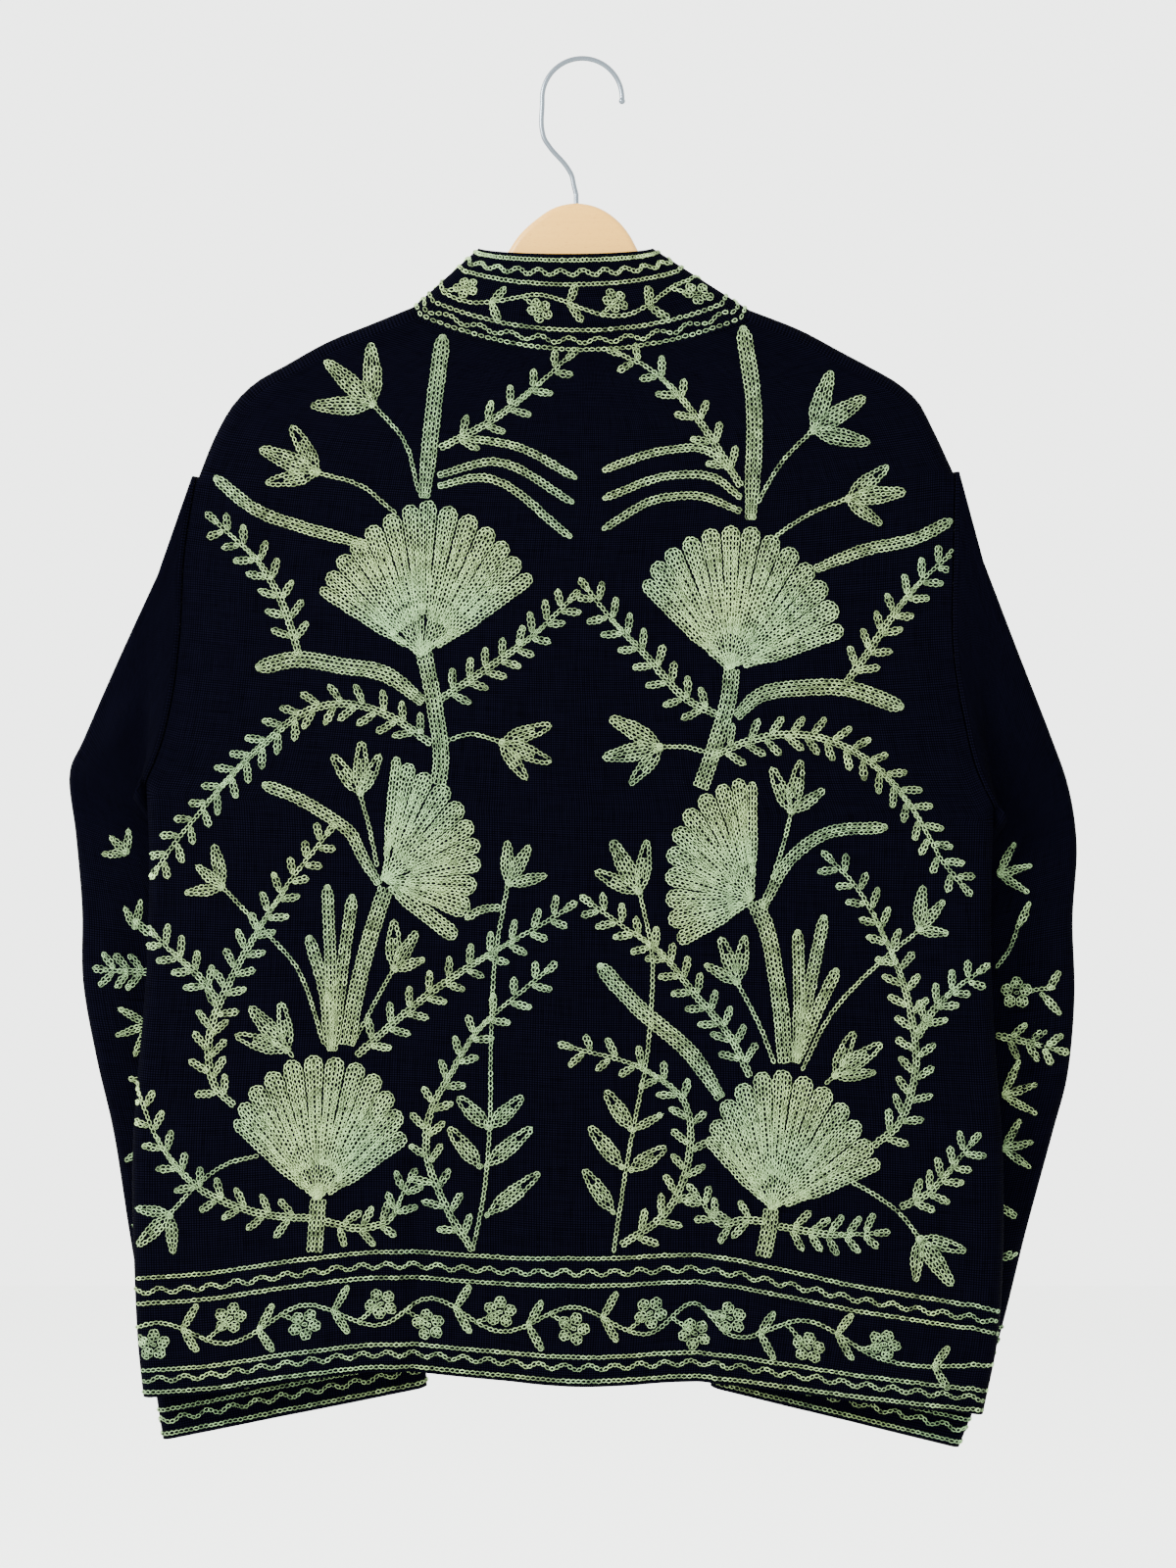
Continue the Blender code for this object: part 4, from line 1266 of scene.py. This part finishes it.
# Hidden by the photograph: a plain tree for a front and a spray for a sleeve's other side, in its manner,
# in pixels of the left half. The right half mirrors them.
FRONT_TREE = [
    ("stem", 4, [(470, 1282), (466, 1210), (478, 1130), (480, 1060)]),
    ("fan", (480, 1064), [(410, 1000), (420, 976), (436, 958), (456, 946), (478, 941), (500, 946), (520, 958),
                          (536, 976), (546, 1000)]),
    ("fern", 9, [(474, 1160), (430, 1120), (386, 1092), (330, 1084)]),
    ("bud", [(470, 1200), (424, 1196), (390, 1176)], [(352, 1146), (340, 1178), (356, 1206)]),
    ("stem", 3, [(480, 940), (484, 880), (470, 812), (452, 760)]),
    ("fan", (452, 764), [(384, 704), (396, 680), (414, 664), (436, 655), (458, 654), (480, 662), (500, 678),
                         (512, 702)]),
    ("fern", 8, [(478, 850), (508, 800), (530, 750), (538, 690)]),
    ("fern", 9, [(474, 880), (420, 850), (366, 842), (310, 860)]),
    ("bud", [(452, 655), (450, 610), (442, 570)], [(410, 530), (436, 516), (464, 524)]),
    ("fern", 6, [(440, 600), (400, 560), (360, 530), (330, 480)]),
    ("blade", 3, [(386, 720), (340, 690), (300, 640), (270, 590)]),
]
SLEEVE_SPRAY = [
    ("stem", 3, [(236, 1300), (226, 1200), (212, 1110), (206, 1040)]),
    ("fan", (206, 1044), [(146, 984), (158, 960), (178, 944), (202, 938), (226, 942), (248, 956),
                         (262, 982)]),
    ("fern", 7, [(222, 1180), (262, 1140), (296, 1100), (318, 1050)]),
    ("fern", 5, [(218, 1150), (184, 1120), (156, 1090), (130, 1056)]),
    ("bud", [(190, 944), (170, 912), (152, 888)], [(104, 864), (120, 846), (143, 850)]),
    ("bud", [(230, 1240), (262, 1232), (290, 1216)], [(322, 1190), (334, 1218), (318, 1242)]),
]
TREE_SPLIT = 19  # each tree is sewn as two pieces, the second from this row of its table on
SPRAY_MIRROR_X = mm(-2)  # the right sleeve's spray is the left one's mirror image about this line
PRONG_HALF = mm(2.8)  # of the small leaves on the sleeves
PRONG_LENGTH, PRONG_SPREAD = 0.7, 0.75  # of the two side prongs, in shares of the middle one
LARGE_LEAF = mm(25)  # a leaf longer than this has a petal's width


def motif(kind, *values):
    """The rows of one motif, in metres, and its yarn's tone."""
    if kind in ("blade", "fern", "stem"):
        make = {"blade": blade, "fern": fern, "stem": stem}[kind]
        return make(photo(values[1]), values[0]), REST_TONE
    places = [photo(value) for value in values]
    if kind == "fan":
        return fan(*places), FAN_TONE
    if kind in ("bud", "flower"):
        return {"bud": bud, "flower": flower}[kind](*places), REST_TONE
    foot, tip = places
    way = tip - foot
    if kind == "leaf":
        return petal(foot, tip, PETAL_HALF if np.hypot(*way) > LARGE_LEAF else PRONG_HALF), REST_TONE
    side = np.array([-way[1], way[0]]) * PRONG_SPREAD
    tips = (tip, foot + way * PRONG_LENGTH + side, foot + way * PRONG_LENGTH - side)
    return [row for end in tips for row in petal(foot, end, PRONG_HALF)], REST_TONE


def tree_stitches(table, mirror_x=None):
    """The stitches of a whole table of motifs, or of its mirror image about an upright line."""
    parts = []
    for row in table:
        paths, tone = motif(*row)
        if mirror_x is not None:
            paths = [np.stack([2 * mirror_x - p[:, 0], p[:, 1]], axis=1) for p in paths]
        parts.append(chain_rows(paths, tone))
    return np.concatenate(parts)


def border_stitches(start, end, flowers, lines=BORDER_LINES, waves=BORDER_WAVES, **measures):
    """Lines, waves and the vine between them, along an edge."""
    paths = [line_row(start, end, height) for height in lines]
    paths += [wave_row(start, end, height) for height in waves]
    paths += vine(start, end, flowers, **measures)
    return chain_rows(paths)


# Hanger
WOOD_THICKNESS = mm(11)
WOOD_ROUNDING = mm(4)
WOOD_SEAT = mm(1.1)
WOOD_CREST = mm([
    (36.5, -126), (30, -114), (22.4, -105), (9, -96.5), (-4.5, -94),
    (-18, -96.5), (-31.4, -105), (-42, -115), (-50, -127),
])
WOOD_LEFT_END_X, WOOD_RIGHT_END_X = mm(-220), mm(209)
WOOD_UNDERSIDE = mm([
    (-219, -241), (-160, -213), (-80, -182), (-6, -172), (70, -183), (150, -213), (207, -238),
])
ARM_POINTS = 60
CREST_POINTS = 49
WIRE_RADIUS = mm(1.6)
WIRE_SIDES = 20
HOOK_RADIUS = mm(26.2)
HOOK_X = mm(-0.6)
HOOK_LEG = mm([
    (-26.8, -27), (-26.8, -46), (-25.5, -51), (-22, -56.5), (-10.5, -70), (-7.6, -75), (-6, -82), (-4.5, -88),
])
HOOK_TIP_DROP = math.radians(-4)
BALL_RADIUS = mm(2.1)
STEM_X = mm(-4.5)
STEM_END_Z = mm(-105)


def inset(path, distance, inwards):
    """The path moved square to itself."""
    tangents = unit(np.gradient(path, lengths(path), axis=0))
    return path + np.stack([-tangents[:, 1], tangents[:, 0]], axis=1) * inwards * distance


def wooden_hanger(finish):
    """The outline as a thick flat curve with rounded edges, stood upright and made a mesh."""
    below = WALL + WOOD_SEAT
    left = inset(along(LEFT_SHOULDER, np.linspace(0, 1, ARM_POINTS)), below, 1)
    right = inset(along(RIGHT_SHOULDER, np.linspace(0, 1, ARM_POINTS)), below, -1)
    left = left[left[:, 0] > WOOD_LEFT_END_X]
    right = right[right[:, 0] < WOOD_RIGHT_END_X]
    crest = along(WOOD_CREST, np.linspace(0, 1, CREST_POINTS))
    under = along(WOOD_UNDERSIDE, np.linspace(0, 1, CREST_POINTS))
    points = np.concatenate([right[::-1], crest, left, under])
    curve = bpy.data.curves.new("hanger_wood_outline", "CURVE")
    curve.dimensions = "2D"
    curve.fill_mode = "BOTH"
    curve.extrude = WOOD_THICKNESS / 2 - WOOD_ROUNDING
    curve.bevel_depth = WOOD_ROUNDING
    curve.bevel_resolution = 5
    curve.offset = -WOOD_ROUNDING
    spline = curve.splines.new("POLY")
    spline.points.add(len(points) - 1)
    flat = np.column_stack([points, np.zeros(len(points)), np.ones(len(points))])
    spline.points.foreach_set("co", flat.ravel())
    spline.use_cyclic_u = True
    outline = bpy.data.objects.new("hanger_wood_outline", curve)
    bpy.context.scene.collection.objects.link(outline)
    bpy.context.view_layer.update()
    graph = bpy.context.evaluated_depsgraph_get()
    mesh = bpy.data.meshes.new_from_object(outline.evaluated_get(graph))
    bpy.data.objects.remove(outline)
    upright = np.empty(len(mesh.vertices) * 3, np.float32)
    mesh.vertices.foreach_get("co", upright)
    upright = upright.reshape(-1, 3)[:, [0, 2, 1]] * (1, -1, 1)
    mesh.vertices.foreach_set("co", upright.astype(np.float32).ravel())
    mesh.materials.clear()
    mesh.materials.append(finish)
    mesh.shade_smooth()
    made = bpy.data.objects.new("beech_hanger", mesh)
    bpy.context.scene.collection.objects.link(made)
    weld = made.modifiers.new("Weld", "WELD")
    weld.merge_threshold = 0.00001
    split = made.modifiers.new("Edges", "EDGE_SPLIT")
    split.split_angle = math.radians(50)
    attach(made, "root")
    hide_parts("hanger_wood")
    return made


def wire_hook(finish):
    """A tube carried along the hook's path, with a ball at its tip where the radius follows a sphere."""
    angles = np.linspace(HOOK_TIP_DROP, math.pi, 70)
    arc = np.stack([HOOK_X + HOOK_RADIUS * np.cos(angles),
                    WIRE_RADIUS - HOOK_RADIUS + HOOK_RADIUS * np.sin(angles)], axis=1)
    leg = along(HOOK_LEG, np.linspace(0, 1, 50))[1:]
    path = np.concatenate([arc, leg, [(STEM_X, STEM_END_Z)]])
    way = unit(path[1] - path[0])
    ball = -BALL_RADIUS * np.cos(np.linspace(0.02, 0.72, 10) * np.pi)
    past = path[lengths(path) > ball[-1] + mm(0.3)]
    radius = np.concatenate([np.sqrt(BALL_RADIUS**2 - ball**2), np.full(len(past), WIRE_RADIUS)])
    radius[len(ball) - 1] = WIRE_RADIUS
    path = np.concatenate([path[0] + way * ball[:, None], past])
    tangents = unit(np.gradient(path, axis=0))
    side = np.stack([-tangents[:, 1], 0 * tangents[:, 0], tangents[:, 0]], axis=1)
    turn = np.linspace(0, 2 * np.pi, WIRE_SIDES, endpoint=False)
    rings = (
        with_y(path, 0)[:, None]
        + side[:, None] * (np.cos(turn)[None, :] * radius[:, None])[..., None]
        + np.array([0, 1, 0]) * (np.sin(turn)[None, :] * radius[:, None])[..., None]
    )
    quads, _, _ = grid_quads(len(rings), WIRE_SIDES, True, False)
    made = new_mesh("wire_hook", rings.reshape(-1, 3), quads, finish)
    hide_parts("hanger_hook")
    return made


# Jacket
cloth_finish = dark_slub_cloth()
wool = sage_wool_yarn()
left = edge_of(LEFT_SHOULDER, LEFT_ARMHOLE, LEFT_SIDE, 1)
right = edge_of(RIGHT_SHOULDER, RIGHT_ARMHOLE, RIGHT_SIDE, -1)
back = back_panel(left, right)
front_left = front_panel(left, -1)
front_right = front_panel(right, 1)
sleeve_left = sleeve_tube(left, LEFT_SLEEVE, LEFT_SLEEVE_CREASES)
sleeve_right = sleeve_tube(right, RIGHT_SLEEVE, RIGHT_SLEEVE_CREASES)
collar = collar_band(back, front_left, front_right)

back_cloth = cloth("back_cloth", back, cloth_finish, "back", flip=True)
front_left_cloth = cloth("front_left_cloth", front_left, cloth_finish, "front_left")
front_right_cloth = cloth("front_right_cloth", front_right, cloth_finish, "front_right", flip=True)
sleeve_left_cloth = cloth("sleeve_left_cloth", sleeve_left, cloth_finish, "sleeve_left", ring=True, flip=True)
sleeve_right_cloth = cloth("sleeve_right_cloth", sleeve_right, cloth_finish, "sleeve_right", ring=True)
sewn_in = collar[:1] - unit(collar[1:2] - collar[:1]) * COLLAR_ALLOWANCE
collar_cloth = cloth("collar_cloth", np.concatenate([sewn_in, collar]), cloth_finish, "collar")


def hem_height(edge):
    """The hem's z over x, carried on straight past its two corners."""
    first, last = edge[0] + (edge[0] - edge[6]) * 3, edge[-1] + (edge[-1] - edge[-7]) * 3
    whole = np.concatenate([[first], edge, [last]])
    return lambda x: np.interp(x, whole[:, 0], whole[:, 2])


back_hem = hem_height(back[-1])
front_hem = hem_height(np.concatenate([front_left[-1], front_right[-1][::-1]]))
on_back = on_face(back_y, -1, (back, back))
on_front = on_face(front_y, 1, (front_left, front_right[:, ::-1]))
hem_flowers = photo(HEM_FLOWERS)
hem_flowers[:, 1] = (hem_flowers[:, 1] - back_hem(hem_flowers[:, 0])) / border_share(hem_flowers[:, 0])
back_trees = [
    sew(f"back_{side}_tree_{part}", tree_stitches(rows), on_back)
    for side, tree in (("left", LEFT_TREE), ("right", RIGHT_TREE))
    for part, rows in (("top", tree[:TREE_SPLIT]), ("foot", tree[TREE_SPLIT:]))
]
back_border = sew(
    "back_border",
    border_stitches(back[-1, 0, 0] - SIDE_REACH, back[-1, -1, 0] + SIDE_REACH, hem_flowers),
    above_hem(on_back, back_hem),
)

for name, side, panel in (("front_left", -1, front_left), ("front_right", 1, front_right)):
    ends = sorted([panel[-1, 0, 0] + side * SIDE_REACH, panel[-1, -1, 0] + side * mm(2)])
    border = border_stitches(*ends, even_flowers(ends[0] + mm(30), ends[1] - mm(30), FLOWER_STEP))
    sew(name + "_border", border, above_hem(on_front, front_hem))
    front_tree = tree_stitches(FRONT_TREE, None if side < 0 else FRONT_X)
    sew(name + "_tree", front_tree, on_front)

for name, tube, sprigs, side in (
    ("sleeve_left", sleeve_left, LEFT_SLEEVE_SPRIGS, -1),
    ("sleeve_right", sleeve_right, RIGHT_SLEEVE_SPRIGS, 1),
):
    half = tube.shape[1] // 2 + 1
    normals = outward_normals(tube)
    near = on_side(tube[:, :half], normals[:, :half])
    far = on_side(tube[:, half - 1:], normals[:, half - 1:])
    cuff, girth = cuff_chart(tube)
    border = border_stitches(0, girth, even_flowers(mm(12), girth - mm(12), FLOWER_STEP))
    sew(name + "_cuff_border", border, cuff)
    sew(name + "_sprigs", tree_stitches(sprigs), near)
    sew(name + "_spray", tree_stitches(SLEEVE_SPRAY, None if side < 0 else SPRAY_MIRROR_X), far)

collar_run = lengths(collar[COLLAR_ROWS // 2])
collar_vine = {"middle": mm(29), "swing": mm(7)}
collar_flowers = even_flowers(mm(12), collar_run[-1] - mm(12), mm(48), **collar_vine)
collar_border = sew(
    "collar_border",
    border_stitches(
        mm(1.5), collar_run[-1] - mm(1.5), collar_flowers,
        lines=mm([1.8, 14.2, 43.5, 59]), waves=mm([7.5, 51]), radius=mm(8), **collar_vine,
    ),
    on_band(collar, outward_normals(collar), collar_run, np.linspace(0, COLLAR_HEIGHT, COLLAR_ROWS + 1)),
)

beech_hanger = wooden_hanger(lacquered_beech())
wire_hook(zinc_plated_wire())

# Studio
CAMERA_DISTANCE = 1.8
BACK_PLANE_Y = mm(-10)
SENSOR = 36.0
FLOOR_Z = -1.35
FLOOR_HALF = 3.0


def studio():
    """A pale floor and a pale surround, three soft lights, and the camera square to the back."""
    corners = np.array([(-1, -1, 0), (1, -1, 0), (1, 1, 0), (-1, 1, 0)]) * FLOOR_HALF + (0, 0, FLOOR_Z)
    mesh = bpy.data.meshes.new("studio_floor")
    mesh.from_pydata(corners.tolist(), [], [(0, 1, 2, 3)])
    mesh.materials.append(pale_floor_paint())
    floor = bpy.data.objects.new("studio_floor", mesh)
    bpy.context.scene.collection.objects.link(floor)

    world = bpy.data.worlds.new("studio")
    world.use_nodes = True
    surround = world.node_tree.nodes["Background"]
    surround.inputs["Color"].default_value = srgb("#f3f5f3")
    surround.inputs["Strength"].default_value = 4.2
    bpy.context.scene.world = world

    for name, place, size, power in (
        ("key", (-1.5, -1.2, 0.5), 0.7, 170.0),
        ("fill", (1.5, -1.6, -0.3), 1.4, 8.0),
        ("behind", (0.2, 1.9, 0.4), 1.2, 20.0),
    ):
        light = bpy.data.lights.new(name, "AREA")
        light.size = size
        light.energy = power
        made = bpy.data.objects.new(name, light)
        made.location = place
        aim = np.array([0, 0, -0.5]) - np.array(place)
        made.rotation_euler = (math.atan2(np.hypot(aim[0], aim[1]), -aim[2]), 0,
                               math.atan2(aim[1], aim[0]) - math.pi / 2)
        bpy.context.scene.collection.objects.link(made)

    camera = bpy.data.cameras.new("camera")
    camera.sensor_width = SENSOR
    camera.lens = SENSOR * CAMERA_DISTANCE / (PHOTO_HEIGHT * PIXEL)
    seat = bpy.data.objects.new("camera", camera)
    middle = photo((PHOTO_WIDTH / 2, PHOTO_HEIGHT / 2))
    seat.location = (middle[0], BACK_PLANE_Y - CAMERA_DISTANCE, middle[1])
    seat.rotation_euler = (math.pi / 2, 0, 0)
    bpy.context.scene.collection.objects.link(seat)
    bpy.context.scene.camera = seat


studio()
